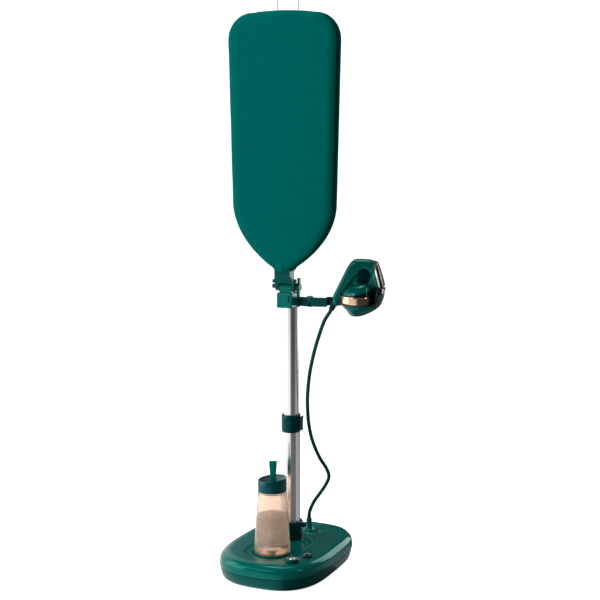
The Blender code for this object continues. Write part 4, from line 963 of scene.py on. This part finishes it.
def make_board(colours, sizes):
    cloth = cotton("green cotton cover", colours.cotton)
    pad = fused("board_pad", [pad_mesh()], cloth, 0.0042, 5)
    start = [v.co.copy() for v in pad.data.vertices]
    swell(pad, start, sizes.pad_swell)
    crease_pad(pad)
    fine = pad.modifiers.new("finer", "SUBSURF")
    fine.levels = fine.render_levels = 1
    applied(pad)
    pad.data.shade_smooth()
    settle(pad, "board", "cotton", "board_cover")

    # Painted shade: the side band's cotton is darkened to stand for the shadow in the groove between pad and
    # rim.
    shade = cotton("cotton side with painted groove shade", scaled(colours.cotton, 0.16), mottle=0.3)
    band = [(0.0085, -0.0565), (0.0062, -0.0550), (0.0058, -0.0500), (0.0060, -0.0440), (0.0085, -0.0400)]
    side = new_piece("board_side_band", loft(board_rings(band), caps=(False, False)), shade, sharp=60.0)
    settle(side, "board", "cotton")
    rim = [(0.0100, -0.0450), (0.0046, -0.0447), (0.0018, -0.0432), (0.0003, -0.0400), (0.0001, -0.0350)]
    rim += [(0.0003, -0.0290), (0.0016, -0.0250), (0.0040, -0.0228), (0.0080, -0.0218)]
    # Painted shade: the rim's cotton is darkened to stand for the shade along the board's side.
    rim_shade_cloth = cotton("cotton rim with painted shade", scaled(colours.cotton, 0.62), mottle=0.2)
    rim_piece = new_piece(
        "board_rim", loft(board_rings(rim) + gathers(), caps=(False, False)), rim_shade_cloth, sharp=60.0,
    )
    settle(rim_piece, "board", "cotton")
    loop = [(x, -0.0536, z) for x, z in board_loop(0.0024)]
    cord = new_piece(
        "board_piping", closed_tube(loop, 0.0015, 8),
        cotton("piping cotton", scaled(colours.cotton, 0.45)),
    )
    settle(cord, "board", "cotton")
    back = moulded("board back moulding", scaled(colours.shade, 1.2), 0.42, 0.10, 0.0, 0.10)
    for node in ("board_panel", "hook_clip_left", "hook_clip_right"):
        dress(node, back, 0.0008)
    wire = metal("steel wire", (0.74, 0.75, 0.76), 0.24, 0.08)
    dress("hanger_hook", wire, 0.0)


def board_rings(profile):
    return [[(x, y, z) for x, z in board_loop(inset)] for inset, y in profile]


def gathers():
    """The hem drawn in over the board's back, with small gathers."""
    rings = []
    for inset, y, depth in ((0.0120, -0.0212, 0.0004), (0.0180, -0.0208, 0.0012), (0.0240, -0.0212, 0.0016)):
        loop = board_loop(inset)
        ring = []
        for i, (x, z) in enumerate(loop):
            ring.append((x, y + depth * math.sin(i * 2 * math.pi * 45 / len(loop)) * 0.6, z))
        rings.append(ring)
    loop = board_loop(0.0262)
    rings.append([(x, -0.0236, z) for x, z in loop])
    rings.append([(x, -0.0252, z) for x, z in board_loop(0.0240)])
    return rings


def closed_tube(loop, radius, sides):
    """A round cord round a closed loop of points in a plane of constant y."""
    points = [Vector(p) for p in loop]
    rings = []
    for k, point in enumerate(points):
        way = (points[(k + 1) % len(points)] - points[k - 1]).normalized()
        side = Vector((0.0, 1.0, 0.0))
        other = way.cross(side).normalized()
        ring = []
        for i in range(sides):
            angle = 2 * math.pi * i / sides
            ring.append(point + (side * math.cos(angle) + other * math.sin(angle)) * radius)
        rings.append(ring)
    return loft([*rings, rings[0]], caps=(False, False))


def swell(piece, start, most):
    """Blows the pad up as cloth, then holds each point within reach of where it began."""
    cloth = piece.modifiers.new("padding", "CLOTH")
    settings = cloth.settings
    settings.quality = 6
    settings.mass = 0.25
    settings.use_pressure = True
    settings.uniform_pressure_force = 4.0
    settings.tension_stiffness = 12.0
    settings.compression_stiffness = 6.0
    settings.shear_stiffness = 4.0
    settings.bending_stiffness = 0.6
    settings.effector_weights.gravity = 0.0
    cloth.collision_settings.use_collision = False
    cloth.collision_settings.use_self_collision = False
    scene = bpy.context.scene
    for number in range(1, 21):
        scene.frame_set(number)
    depsgraph = bpy.context.evaluated_depsgraph_get()
    soft = piece.evaluated_get(depsgraph).data
    ends = [v.co.copy() for v in soft.vertices]
    piece.modifiers.clear()
    for vertex, a, b in zip(piece.data.vertices, start, ends):
        move = b - a
        if move.length > most:
            move = move.normalized() * most
        back = min(0.0, move.y) if a.y > BOARD_FRONT_Y + 0.010 else move.y
        vertex.co = a + Vector((move.x * 0.4, back, move.z * 0.4))
    scene.frame_set(1)


def crease_pad(piece):
    """Faint drawn folds near the rim, where the cover is pulled round the edge."""
    for vertex in piece.data.vertices:
        x, y, z = vertex.co
        if y > BOARD_FRONT_Y + 0.008:
            continue
        half = BOARD_HALF_TOP if z > BOARD_TAPER else 0.10
        rim = smoothstep(0.6, 1.0, abs(x) / half)
        fold = math.sin(z * 140.0 + math.sin(z * 37.0) * 2.0) * 0.00018 * rim
        broad = math.sin(z * 11.0 + x * 9.0) * 0.00030
        vertex.co.y += fold + broad


def dress(node, finish, bevel):
    """A carried-over CAD node gets its finish and softened edges."""
    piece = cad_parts[node]
    piece.data.materials.clear()
    piece.data.materials.append(finish)
    if bevel:
        rounded(piece, bevel, 2)


# ---------------------------------------------------------------- head
def make_head(colours):
    gloss = moulded("green gloss moulding", colours.gloss, 0.13)
    deep = moulded("deep green moulding", scaled(colours.gloss, 0.42), 0.20, 0.08, 0.3)
    dark = moulded("dark green satin moulding", colours.shade, 0.28)
    steel = metal("turned steel", (0.70, 0.71, 0.72), 0.25, 0.08)
    dress("mast_head", gloss, 0.0014)
    dress("board_bracket", deep, 0.0012)
    dress("tilt_pin", steel, 0.0)
    dress("tilt_pin_cap", dark, 0.0008)
    dress("tilt_lever", dark, 0.0010)
    dress("arm_root", dark, 0.0012)
    dress("holder_arm", deep, 0.0012)
    dress("arm_screw", gloss, 0.0)
    slot = [
        [(x, -0.0474, z) for x, z in [(0.0120, 0.792), (0.0168, 0.792), (0.0168, 0.813), (0.0120, 0.813)]]
    ]
    slot.append([(x, -0.0440, z) for x, _, z in slot[0]])
    mouth = new_piece("head_slot", loft(slot), moulded("slot shadow", (0.002, 0.012, 0.012), 0.5))
    rounded(mouth, 0.0006, 2)
    settle(mouth, "mast", "dark_plastic")


# ---------------------------------------------------------------- cradle and iron
CUP = [
    (0.754, 0.119, 0.150, 0.017),
    (0.757, 0.115, 0.160, 0.025),
    (0.764, 0.110, 0.175, 0.033),
    (0.772, 0.104, 0.189, 0.040),
    (0.780, 0.096, 0.199, 0.045),
    (0.788, 0.089, 0.2060, 0.048),
    (0.800, 0.089, 0.2105, 0.048),
    (0.813, 0.090, 0.2150, 0.0475),
    (0.836, 0.093, 0.2190, 0.046),
]
CUP_WALL = 0.0026


def cup_point(height, angle, inset=0.0):
    near, far, half = mixed(CUP, height)
    along = (near + far) / 2 + ((far - near) / 2 - inset) * math.cos(angle)
    return Vector((along, (half - inset) * math.sin(angle), height))


def rim_height(angle):
    return 0.7878 + 0.0482 * smoothstep(0.66, 0.95, math.cos(angle))


def make_cradle(colours):
    gloss = moulded("cradle gloss moulding", scaled(colours.gloss, 0.62), 0.14, 0.08, 0.5, 0.02)
    steps, rows = 112, 22
    rings = []
    for k in range(rows + 1):
        share = k / rows
        ring = []
        for i in range(steps):
            angle = 2 * math.pi * i / steps
            height = 0.754 + (rim_height(angle) - 0.754) * share
            ring.append(cup_point(height, angle))
        rings.append(ring)
    for inset, drop in ((0.0006, -0.0004), (0.0013, -0.0006), (0.0020, -0.0004)):
        ring = []
        for i in range(steps):
            angle = 2 * math.pi * i / steps
            point = cup_point(rim_height(angle), angle, inset)
            point.z -= drop
            ring.append(point)
        rings.append(ring)
    for k in range(rows + 1):
        share = 1 - k / rows
        ring = []
        for i in range(steps):
            angle = 2 * math.pi * i / steps
            height = 0.7568 + (rim_height(angle) - 0.7568) * share
            ring.append(cup_point(height, angle, CUP_WALL))
        rings.append(ring)
    cup = loft(rings)
    dark = moulded("bridge black moulding", scaled(colours.shade, 0.8), 0.2, 0.08, 0.3)
    bridge = block((0.036, 0.0185, 0.779), (0.116, 0.0300, 0.7857))
    tab = block((0.036, 0.0103, 0.779), (0.050, 0.0205, 0.7857))
    shell = new_piece("iron_cradle_cup", cup, gloss, HOLDER, 50.0)
    settle(shell, "mast", "green_gloss", "iron_cradle")
    link = fused("cradle_bridge", [bridge, tab], gloss, 0.0010, 4, HOLDER)
    settle(link, "mast", "green_gloss")
    tall = fused(
        "cradle_bridge_block", [block((0.046, 0.0180, 0.7790), (0.0800, 0.0300, 0.8030))], dark, 0.0010,
        4, HOLDER,
    )
    settle(tall, "mast", "dark_plastic")


def block(low, high):
    ring = [(low[0], low[1]), (high[0], low[1]), (high[0], high[1]), (low[0], high[1])]
    return loft([[(x, y, z) for x, y in ring] for z in (low[2], high[2])])


def oval(along, long, wide, height, steps=72, power=2.0):
    ring = []
    for i in range(steps):
        angle = 2 * math.pi * i / steps
        c, s = math.cos(angle), math.sin(angle)
        u = math.copysign(abs(c) ** (2 / power), c) * long
        v = math.copysign(abs(s) ** (2 / power), s) * wide
        ring.append(Vector((along + u, v, height)))
    return ring


LOOP = [
    (0.0655, 0.7865), (0.0660, 0.8080), (0.0755, 0.8292), (0.0887, 0.8563), (0.1018, 0.8832),
    (0.1118, 0.9013), (0.1214, 0.9128), (0.1312, 0.9183), (0.1440, 0.9190), (0.1600, 0.9187),
    (0.1745, 0.9178), (0.1835, 0.9145), (0.1868, 0.9050), (0.1890, 0.8850), (0.1918, 0.8650),
    (0.1940, 0.8500), (0.1945, 0.8390), (0.1850, 0.8290), (0.1500, 0.8250), (0.1160, 0.8250),
    (0.1026, 0.8150), (0.0886, 0.7930), (0.0790, 0.7800),
]
SCOOP = [
    (0.1340, 0.8655), (0.1420, 0.8820), (0.1480, 0.8900), (0.1560, 0.8925), (0.1660, 0.8905),
    (0.1745, 0.8830), (0.1775, 0.8700), (0.1755, 0.8560), (0.1680, 0.8460), (0.1500, 0.8440),
    (0.1400, 0.8500),
]
GROOVE = (Vector((0.1360, 0.8680)), Vector((0.0990, 0.8180)))
LOOP_HALF, WEB_HALF, LOOP_ROUND = 0.0158, 0.0030, 0.0110


def nearest_edge(point, outline):
    """Distance from a point to a closed outline, below zero outside it."""
    best, inside = 1.0, False
    for a, b in zip(outline, [*outline[1:], outline[0]]):
        edge, to = b - a, point - a
        share = max(0.0, min(1.0, to.dot(edge) / max(edge.length_squared, 1e-12)))
        best = min(best, (to - edge * share).length)
        if (a.y > point.y) != (b.y > point.y):
            if point.x < (b.x - a.x) * (point.y - a.y) / (b.y - a.y) + a.x:
                inside = not inside
    return best if inside else -best


def handle_loop():
    """The handle's solid loop: round edges all round and a deep finger scoop on each side."""
    rim = [p.xz for p in through([Vector((a, 0, z)) for a, z in [*LOOP, LOOP[0]]], 0.0026)]
    scoop = [Vector(p) for p in SCOOP]
    middle, rows = Vector((0.1570, 0.8680)), 30
    sides = []
    for side in (-1, 1):
        rings = []
        for k in range(rows + 1):
            share = (k / rows) ** 1.5 * 0.98
            ring = []
            for start in rim:
                point = start.lerp(middle, share)
                depth = max(0.0, nearest_edge(point, rim))
                fall = 1 - min(1.0, depth / LOOP_ROUND)
                half = LOOP_HALF * math.sqrt(max(0.0, 1 - fall * fall))
                hollow = smoothstep(-0.0020, 0.0050, nearest_edge(point, scoop))
                start_at, way = GROOVE[0], GROOVE[1] - GROOVE[0]
                share_along = max(0.0, min(1.0, (point - start_at).dot(way) / way.length_squared))
                off = (point - start_at - way * share_along).length
                hollow = max(hollow, 0.75 * smoothstep(0.0080, 0.0020, off))
                half = half + (WEB_HALF - half) * hollow
                ring.append(Vector((point.x, side * half, point.y)))
            rings.append(ring)
        sides.append(rings)
    return loft([*reversed(sides[0]), *sides[1][1:]])


BELL = [
    (0.8144, 0.1400, 0.0472, 0.0437),
    (0.8160, 0.1402, 0.0470, 0.0435),
    (0.8240, 0.1414, 0.0452, 0.0418),
    (0.8320, 0.1440, 0.0415, 0.0385),
    (0.8400, 0.1480, 0.0360, 0.0330),
    (0.8455, 0.1530, 0.0290, 0.0260),
    (0.8490, 0.1570, 0.0200, 0.0180),
]


def wedge_height(along):
    """How high the dark wedge stands above the band at a place along the iron."""
    table = [
        (0.1120, 0.8148), (0.1261, 0.8175), (0.1533, 0.8225), (0.1755, 0.8300), (0.1845, 0.8380),
        (0.1926, 0.8440),
    ]
    return mixed(table, max(0.1120, min(0.1926, along)))[0]


SOLE_LEAN = math.radians(15.5)
SOLE_HEEL = Vector((0.2150, 0.0, 0.8395))
SOLE_UP = Vector((-math.sin(SOLE_LEAN), 0.0, math.cos(SOLE_LEAN)))
SOLE_IN = Vector((-math.cos(SOLE_LEAN), 0.0, -math.sin(SOLE_LEAN)))
SOLE_LENGTH = 0.0765


def sole_ring(inset, depth, count=30):
    """The sole's outline at a depth behind its face, heel first, rounded at the nose."""
    table = [(0.0, 0.0300), (0.02, 0.0362), (0.08, 0.0395), (0.20, 0.0405), (0.42, 0.0392), (0.60, 0.0352)]
    table += [(0.75, 0.0290), (0.87, 0.0220), (0.95, 0.0150), (0.985, 0.0095), (1.0, 0.0055)]
    right = []
    for k in range(count + 1):
        share = 0.5 - 0.5 * math.cos(math.pi * k / count)
        half = max(0.001, mixed(table, share)[0] - inset)
        along = inset + (SOLE_LENGTH - 2 * inset) * share
        right.append((half, along))
    points = [*right, *[(-u, v) for u, v in reversed(right)]]
    return [SOLE_HEEL + SOLE_UP * v + SOLE_IN * depth + Vector((0, u, 0)) for u, v in points]


def make_iron(colours):
    gloss = moulded("iron gloss moulding", scaled(colours.gloss, 0.72), 0.12, 0.08, 0.6, 0.02)
    bell = [oval(along, long, wide, height) for height, along, long, wide in BELL]
    hood = [
        sole_ring(0.004, 0.0125), sole_ring(0.004, 0.0180), sole_ring(0.008, 0.0225),
        sole_ring(0.014, 0.0250),
    ]
    shapes = [handle_loop(), loft(bell), loft(hood)]
    body = fused("iron_body_moulding", shapes, gloss, 0.0014, 6, HOLDER)
    settle(body, "iron", "green_gloss", "iron_body")

    dark = moulded("heel black moulding", (0.0015, 0.010, 0.010), 0.16, 0.08, 0.4)
    silver = metal("silver skirt metal", (0.50, 0.53, 0.51), 0.30, 0.05, 0.01)
    skirt = new_piece(
        "sole_skirt_moulding",
        loft([sole_ring(0.002, 0.0060), sole_ring(0.0005, 0.0080), sole_ring(0.0020, 0.0122)]), silver,
        HOLDER,
    )
    settle(skirt, "iron", "sole_metal", "sole_skirt")
    sole = metal("ceramic coated soleplate", (0.060, 0.048, 0.040), 0.22, 0.05, 0.01)
    rows = [sole_ring(0.0016, 0.0), sole_ring(0.0005, 0.0005), sole_ring(0.0, 0.0014), sole_ring(0.0, 0.0055)]
    plate = new_piece("soleplate_metal", loft(rows), sole, HOLDER)
    settle(plate, "iron", "sole_metal", "soleplate")
    steam_holes()
    tip_at = SOLE_HEEL + SOLE_UP * (SOLE_LENGTH - 0.0020) + SOLE_IN * 0.0105
    profile = [
        (0.0068 * math.cos(math.radians(a)), 0.0068 * math.sin(math.radians(a)))
        for a in range(-88, 89, 8)
    ]
    tip = new_piece("nose_tip", lathe(profile, tip_at, 28), dark, HOLDER)
    settle(tip, "iron", "dark_plastic")
    # Painted shade: a dark sheet laid through the finger scoop stands for the shade inside the recess.
    scoop_shade_finish = moulded("painted scoop shade", (0.0, 0.016, 0.015), 0.40, 0.10, 0.0)
    layers = []
    for side, spread in ((-0.0050, 0.94), (-0.0046, 1.0), (0.0046, 1.0), (0.0050, 0.94)):
        layers.append(
            [Vector((0.157 + (a - 0.157) * spread, side, 0.868 + (z - 0.868) * spread)) for a, z in SCOOP]
        )
    inside = new_piece("scoop_painted_shade_web", loft(layers), scoop_shade_finish, HOLDER)
    settle(inside, "iron", "dark_plastic")
    make_heel(colours, dark)


def steam_holes():
    """Dark steam vents in rows on the sole's face."""
    dark = moulded("vent shadow", (0.006, 0.006, 0.006), 0.5)
    shapes = []
    for along, halves in (
        (0.022, (0.010, 0.026)), (0.038, (0.0, 0.018, 0.029)), (0.053, (0.008, 0.021)),
        (0.064, (0.0, 0.011)),
    ):
        for half in halves:
            for side in {half, -half}:
                centre = SOLE_HEEL + SOLE_UP * along + Vector((0, side, 0))
                rings = []
                for out, radius in ((0.00005, 0.0015), (0.0003, 0.0015)):
                    ring = []
                    for i in range(12):
                        angle = 2 * math.pi * i / 12
                        step = SOLE_UP * math.sin(angle) + Vector((0, math.cos(angle), 0))
                        ring.append(centre - SOLE_IN * out + step * radius)
                    rings.append(ring)
                shapes.append(loft(rings))
    vents = new_piece("sole_vents", joined(shapes), dark, HOLDER)
    settle(vents, "iron", "dark_plastic")


def make_heel(colours, dark):
    copper = metal("rose gold band metal", colours.rose_gold, 0.16, 0.05, 0.01)
    table = [
        (0.7752, 0.1085, 0.1760, 0.0335),
        (0.7810, 0.1010, 0.1810, 0.0405),
        (0.7885, 0.0950, 0.1860, 0.0428),
        (0.7925, 0.0875, 0.1872, 0.0438),
        (0.8110, 0.0865, 0.1872, 0.0440),
        (0.8134, 0.0873, 0.1866, 0.0434),
        (0.8140, 0.0890, 0.1852, 0.0420),
    ]
    rings = []
    for k in range(19):
        height = 0.7752 + (0.8140 - 0.7752) * k / 18
        near, far, half = mixed(table, height)
        rings.append(oval((near + far) / 2, (far - near) / 2, half, height, 96))
    band = new_piece("heel_band", loft(rings), copper, HOLDER)
    settle(band, "iron", "rose_gold", "heel_ring")
    rows = []
    table = [
        (0.7800, 0.1500, 0.1955, 0.0412), (0.8000, 0.1500, 0.2068, 0.0440),
        (0.8140, 0.1500, 0.2110, 0.0438),
    ]
    table += [
        (0.8200, 0.1860, 0.2125, 0.0435), (0.8340, 0.1880, 0.2148, 0.0420),
        (0.8362, 0.1890, 0.2135, 0.0400),
    ]
    for height, near, far, half in table:
        ring = []
        for point in oval(0.0, 1.0, 1.0, height, 72, 2.4):
            x = near + (far - near) * (0.5 + 0.5 * point.x)
            ring.append(Vector((max(x, 0.1884), half * point.y, height)))
        rows.append(ring)
    shapes = [loft(rows)]
    rows = []
    for k in range(9):
        row = []
        for step in oval(0.0, 1.0, 1.0, 0.0, 96):
            height = 0.8143 + (wedge_height(0.1400 + 0.0472 * step.x) - 0.8143) * k / 8
            along, long, wide = mixed(BELL, max(BELL[0][0], height))
            row.append(Vector((along + step.x * (long + 0.0014), step.y * (wide + 0.0014), height)))
        rows.append(row)
    shapes.append(loft(rows))
    heel = new_piece("heel_block_moulding", joined(shapes), dark, HOLDER, 50.0)
    settle(heel, "iron", "dark_plastic", "heel_block")
    rubber = moulded("sleeve rubber", (0.003, 0.030, 0.027), 0.5, 0.1, 0.0, 0.2)
    points, radii = [], []
    for k in range(25):
        share = k / 24
        points.append(HOLDER @ (HANDLE_FOOT - HANDLE_WAY * (0.018 - 0.0222 * share)))
        rib = 0.0007 if k % 4 < 2 and k < 20 else 0.0
        radii.append(0.0074 + 0.0020 * share + rib)
    boot = new_piece("hose_sleeve_boot", tube(points, radii, 28), rubber)
    settle(boot, "iron", "black_rubber", "hose_sleeve")
    dress("steam_trigger", dark, 0.0)
    dress("heel_cap", dark, 0.0010)


# ---------------------------------------------------------------- carried-over pieces inside
def make_insides(colours):
    dark = moulded("dark green satin moulding", colours.shade, 0.28)
    rubber = moulded("foot rubber", (0.010, 0.014, 0.013), 0.6, 0.1, 0.0, 0.2)
    steel = metal("turned steel", (0.70, 0.71, 0.72), 0.25)
    board = moulded("circuit board", (0.010, 0.080, 0.030), 0.4, 0.2)
    for side in ("front_left", "front_right", "rear_left", "rear_right"):
        dress("foot_" + side, rubber, 0.0007)
    for node in ("power_inlet", "button_switch", "guide_bush"):
        dress(node, rubber, 0.0006)
    for node in ("dial_switch", "water_pump"):
        dress(node, dark, 0.0005)
    dress("bottle_seat", moulded("seat moulding", scaled(colours.gloss, 0.85), 0.24, 0.06, 0.2, 0.02), 0.0005)
    for node in ("ballast_weight", "steam_boiler", "dial_shaft", "iron_heater"):
        dress(node, steel, 0.0005)
    dress("control_board", board, 0.0)


# ---------------------------------------------------------------- stage
CAMERA_PLACE = Vector((1.642, -3.521, 1.414))
CAMERA_AZIMUTH = math.radians(25.0)
CAMERA_YAW = math.radians(0.385)
CAMERA_PITCH = math.radians(9.085)
LENS_LENGTH, SENSOR_WIDTH = 81.35, 36.0
FLOOR_GLOW = 0.85


def make_camera():
    data = bpy.data.cameras.new("camera")
    data.lens = LENS_LENGTH
    data.sensor_width = SENSOR_WIDTH
    camera = bpy.data.objects.new("camera", data)
    bpy.context.scene.collection.objects.link(camera)
    camera.location = CAMERA_PLACE
    heading = CAMERA_AZIMUTH - CAMERA_YAW
    way = Vector((-math.sin(heading), math.cos(heading), -math.tan(CAMERA_PITCH)))
    camera.rotation_euler = way.to_track_quat("-Z", "Y").to_euler()
    bpy.context.scene.camera = camera


def seen_directly(tree):
    """1 for rays straight from the view or through something clear, 0 for all others."""
    path = tree.nodes.new("ShaderNodeLightPath").outputs
    return maths(tree, "MAXIMUM", path["Is Camera Ray"], path["Is Transmission Ray"])


def make_floor():
    profile = [(-6.0, 0.0), (3.2, 0.0)]
    for k in range(1, 13):
        angle = math.radians(90 * k / 12)
        profile.append((3.2 + 1.6 * math.sin(angle), 1.6 * (1 - math.cos(angle))))
    profile.append((4.8, 7.0))
    verts, faces = [], []
    turn = Matrix.Rotation(CAMERA_AZIMUTH, 4, "Z")
    for y, z in profile:
        verts += [turn @ Vector((-9.0, y, z)), turn @ Vector((9.0, y, z))]
    for k in range(len(profile) - 1):
        faces.append((2 * k, 2 * k + 1, 2 * k + 3, 2 * k + 2))
    mesh = bpy.data.meshes.new("studio_floor")
    mesh.from_pydata([tuple(v) for v in verts], [], faces)
    mesh.shade_smooth()
    floor = bpy.data.objects.new("studio_floor", mesh)
    bpy.context.scene.collection.objects.link(floor)
    paper = bpy.data.materials.new("pale paper")
    paper.use_nodes = True
    tree = paper.node_tree
    seen = seen_directly(tree)
    place = tree.nodes.new("ShaderNodeNewGeometry").outputs["Position"]
    flat = tree.nodes.new("ShaderNodeVectorMath")
    flat.operation = "MULTIPLY"
    flat.inputs[1].default_value = (1.0, 1.0, 0.0)
    tree.links.new(place, flat.inputs[0])
    way = tree.nodes.new("ShaderNodeVectorMath")
    way.operation = "NORMALIZE"
    tree.links.new(flat.outputs[0], way.inputs[0])
    # Painted glow: the floor glows in a broad sweep towards the front left and a narrow one towards the
    # right, lighting the pieces and showing as highlights in their gloss.
    patch_glows = []
    for heading, low, high, level in (
        (CAMERA_AZIMUTH + math.pi, 0.02, 0.26, 0.85), (CAMERA_AZIMUTH, 0.86, 0.96, 0.26),
    ):
        towards = tree.nodes.new("ShaderNodeVectorMath")
        towards.operation = "DOT_PRODUCT"
        towards.inputs[1].default_value = (math.cos(heading), math.sin(heading), 0.0)
        tree.links.new(way.outputs[0], towards.inputs[0])
        ramp = tree.nodes.new("ShaderNodeMapRange")
        ramp.interpolation_type = "SMOOTHSTEP"
        ramp.inputs["From Min"].default_value = low
        ramp.inputs["From Max"].default_value = high
        ramp.inputs["To Max"].default_value = level
        tree.links.new(towards.outputs["Value"], ramp.inputs["Value"])
        patch_glows.append(ramp.outputs["Result"])
    floor_glow_patches = maths(tree, "MAXIMUM", *patch_glows)
    shader = shader_of(paper)
    shade = blend_colour(tree, seen, (0.18, 0.18, 0.18, 1.0), (0.80, 0.80, 0.80, 1.0))
    tree.links.new(shade, shader.inputs["Base Color"])
    shader.inputs["Emission Color"].default_value = (1.0, 1.0, 1.0, 1.0)
    glow = maths(tree, "MAXIMUM", maths(tree, "MULTIPLY", seen, FLOOR_GLOW), floor_glow_patches)
    tree.links.new(glow, shader.inputs["Emission Strength"])
    shader.inputs["Roughness"].default_value = 0.9
    shader.inputs["Specular IOR Level"].default_value = 0.0
    mesh.materials.append(paper)


def add_light(name, place, target, size, power, shape="RECTANGLE", size_y=None, colour=(1, 1, 1)):
    data = bpy.data.lights.new(name, "AREA")
    data.shape = shape
    data.size = size
    data.size_y = size_y or size
    data.energy = power
    data.color = colour
    light = bpy.data.objects.new(name, data)
    bpy.context.scene.collection.objects.link(light)
    light.location = place
    light.visible_camera = False
    way = Vector(target) - Vector(place)
    light.rotation_euler = way.to_track_quat("-Z", "Y").to_euler()


def make_lights():
    world = bpy.data.worlds.new("studio")
    bpy.context.scene.world = world
    world.use_nodes = True
    tree = world.node_tree
    backdrop = tree.nodes["Background"]
    backdrop.inputs["Color"].default_value = (1.0, 1.0, 1.0, 1.0)
    strength = maths(tree, "ADD", maths(tree, "MULTIPLY", seen_directly(tree), 0.90), 0.10)
    tree.links.new(strength, backdrop.inputs["Strength"])
    add_light("key_left", (-2.7, -1.6, 1.5), (0, 0, 0.8), 3.4, 92, size_y=3.0)
    add_light("front_soft", (-0.9, -3.4, 2.4), (0, 0, 1.0), 1.4, 26)
    add_light("back_right", (1.0, 2.6, 1.4), (0, 0, 0.8), 1.5, 34, size_y=2.8)
    add_light("edge_right", (2.2, -0.5, 1.6), (0, 0, 0.4), 0.22, 5, size_y=1.6)
    add_light("overhead", (-0.3, 0.1, 3.4), (0, 0, 0.8), 1.6, 34)
    bpy.context.scene.view_settings.view_transform = "Standard"


# ---------------------------------------------------------------- operators
def settings():
    return bpy.context.scene.station_colours, bpy.context.scene.station_sizes


class StationStage(Operator):
    """Makes the shader groups, camera, floor and lights"""

    bl_idname = "station.stage"
    bl_label = "Stage"

    def execute(self, context):
        GROUPS["moulding"] = make_moulding_group()
        GROUPS["weave"] = make_weave_group()
        GROUPS["brush"] = make_brush_group()
        make_camera()
        make_floor()
        make_lights()
        return {"FINISHED"}


class StationHose(Operator):
    """Makes the steam hose"""

    bl_idname = "station.hose"
    bl_label = "Steam hose"

    def execute(self, context):
        make_hose(*settings())
        return {"FINISHED"}


class StationBase(Operator):
    """Makes the base, its fittings and its controls"""

    bl_idname = "station.base"
    bl_label = "Base"

    def execute(self, context):
        colours, sizes = settings()
        make_base(colours)
        make_base_fittings(colours)
        make_controls(colours, sizes)
        make_insides(colours)
        return {"FINISHED"}


class StationBottle(Operator):
    """Makes the bottle, its water, cap and strap"""

    bl_idname = "station.bottle"
    bl_label = "Water bottle"

    def execute(self, context):
        make_bottle(*settings())
        return {"FINISHED"}


class StationMast(Operator):
    """Makes the tubes, the height collar and the head"""

    bl_idname = "station.mast"
    bl_label = "Mast"

    def execute(self, context):
        colours, _ = settings()
        make_mast(colours)
        make_head(colours)
        return {"FINISHED"}


class StationBoard(Operator):
    """Makes the padded board"""

    bl_idname = "station.board"
    bl_label = "Ironing board"

    def execute(self, context):
        make_board(*settings())
        return {"FINISHED"}


class StationIron(Operator):
    """Makes the iron and its cradle"""

    bl_idname = "station.iron"
    bl_label = "Iron and cradle"

    def execute(self, context):
        colours, _ = settings()
        make_cradle(colours)
        make_iron(colours)
        return {"FINISHED"}


STEPS = (StationStage, StationHose, StationBase, StationBottle, StationMast, StationBoard, StationIron)


class StationPanel(Panel):
    """Lists the station's settings and steps"""

    bl_idname = "VIEW3D_PT_station"
    bl_label = "Ironing station"
    bl_space_type = "VIEW_3D"
    bl_region_type = "UI"
    bl_category = "Station"

    def draw(self, context):
        for group in settings():
            for name in group.bl_rna.properties.keys():
                if name not in ("rna_type", "name"):
                    self.layout.prop(group, name)
        for step in STEPS:
            self.layout.operator(step.bl_idname)


CLASSES = (StationColours, StationSizes, *STEPS, StationPanel)


def register():
    for cls in CLASSES:
        bpy.utils.register_class(cls)
    bpy.types.Scene.station_colours = PointerProperty(type=StationColours)
    bpy.types.Scene.station_sizes = PointerProperty(type=StationSizes)


def unregister():
    del bpy.types.Scene.station_sizes
    del bpy.types.Scene.station_colours
    for cls in reversed(CLASSES):
        bpy.utils.unregister_class(cls)


def main():
    register()
    for step in STEPS:
        group, name = step.bl_idname.split(".")
        getattr(getattr(bpy.ops, group), name)()


if __name__ == "__main__":
    main()
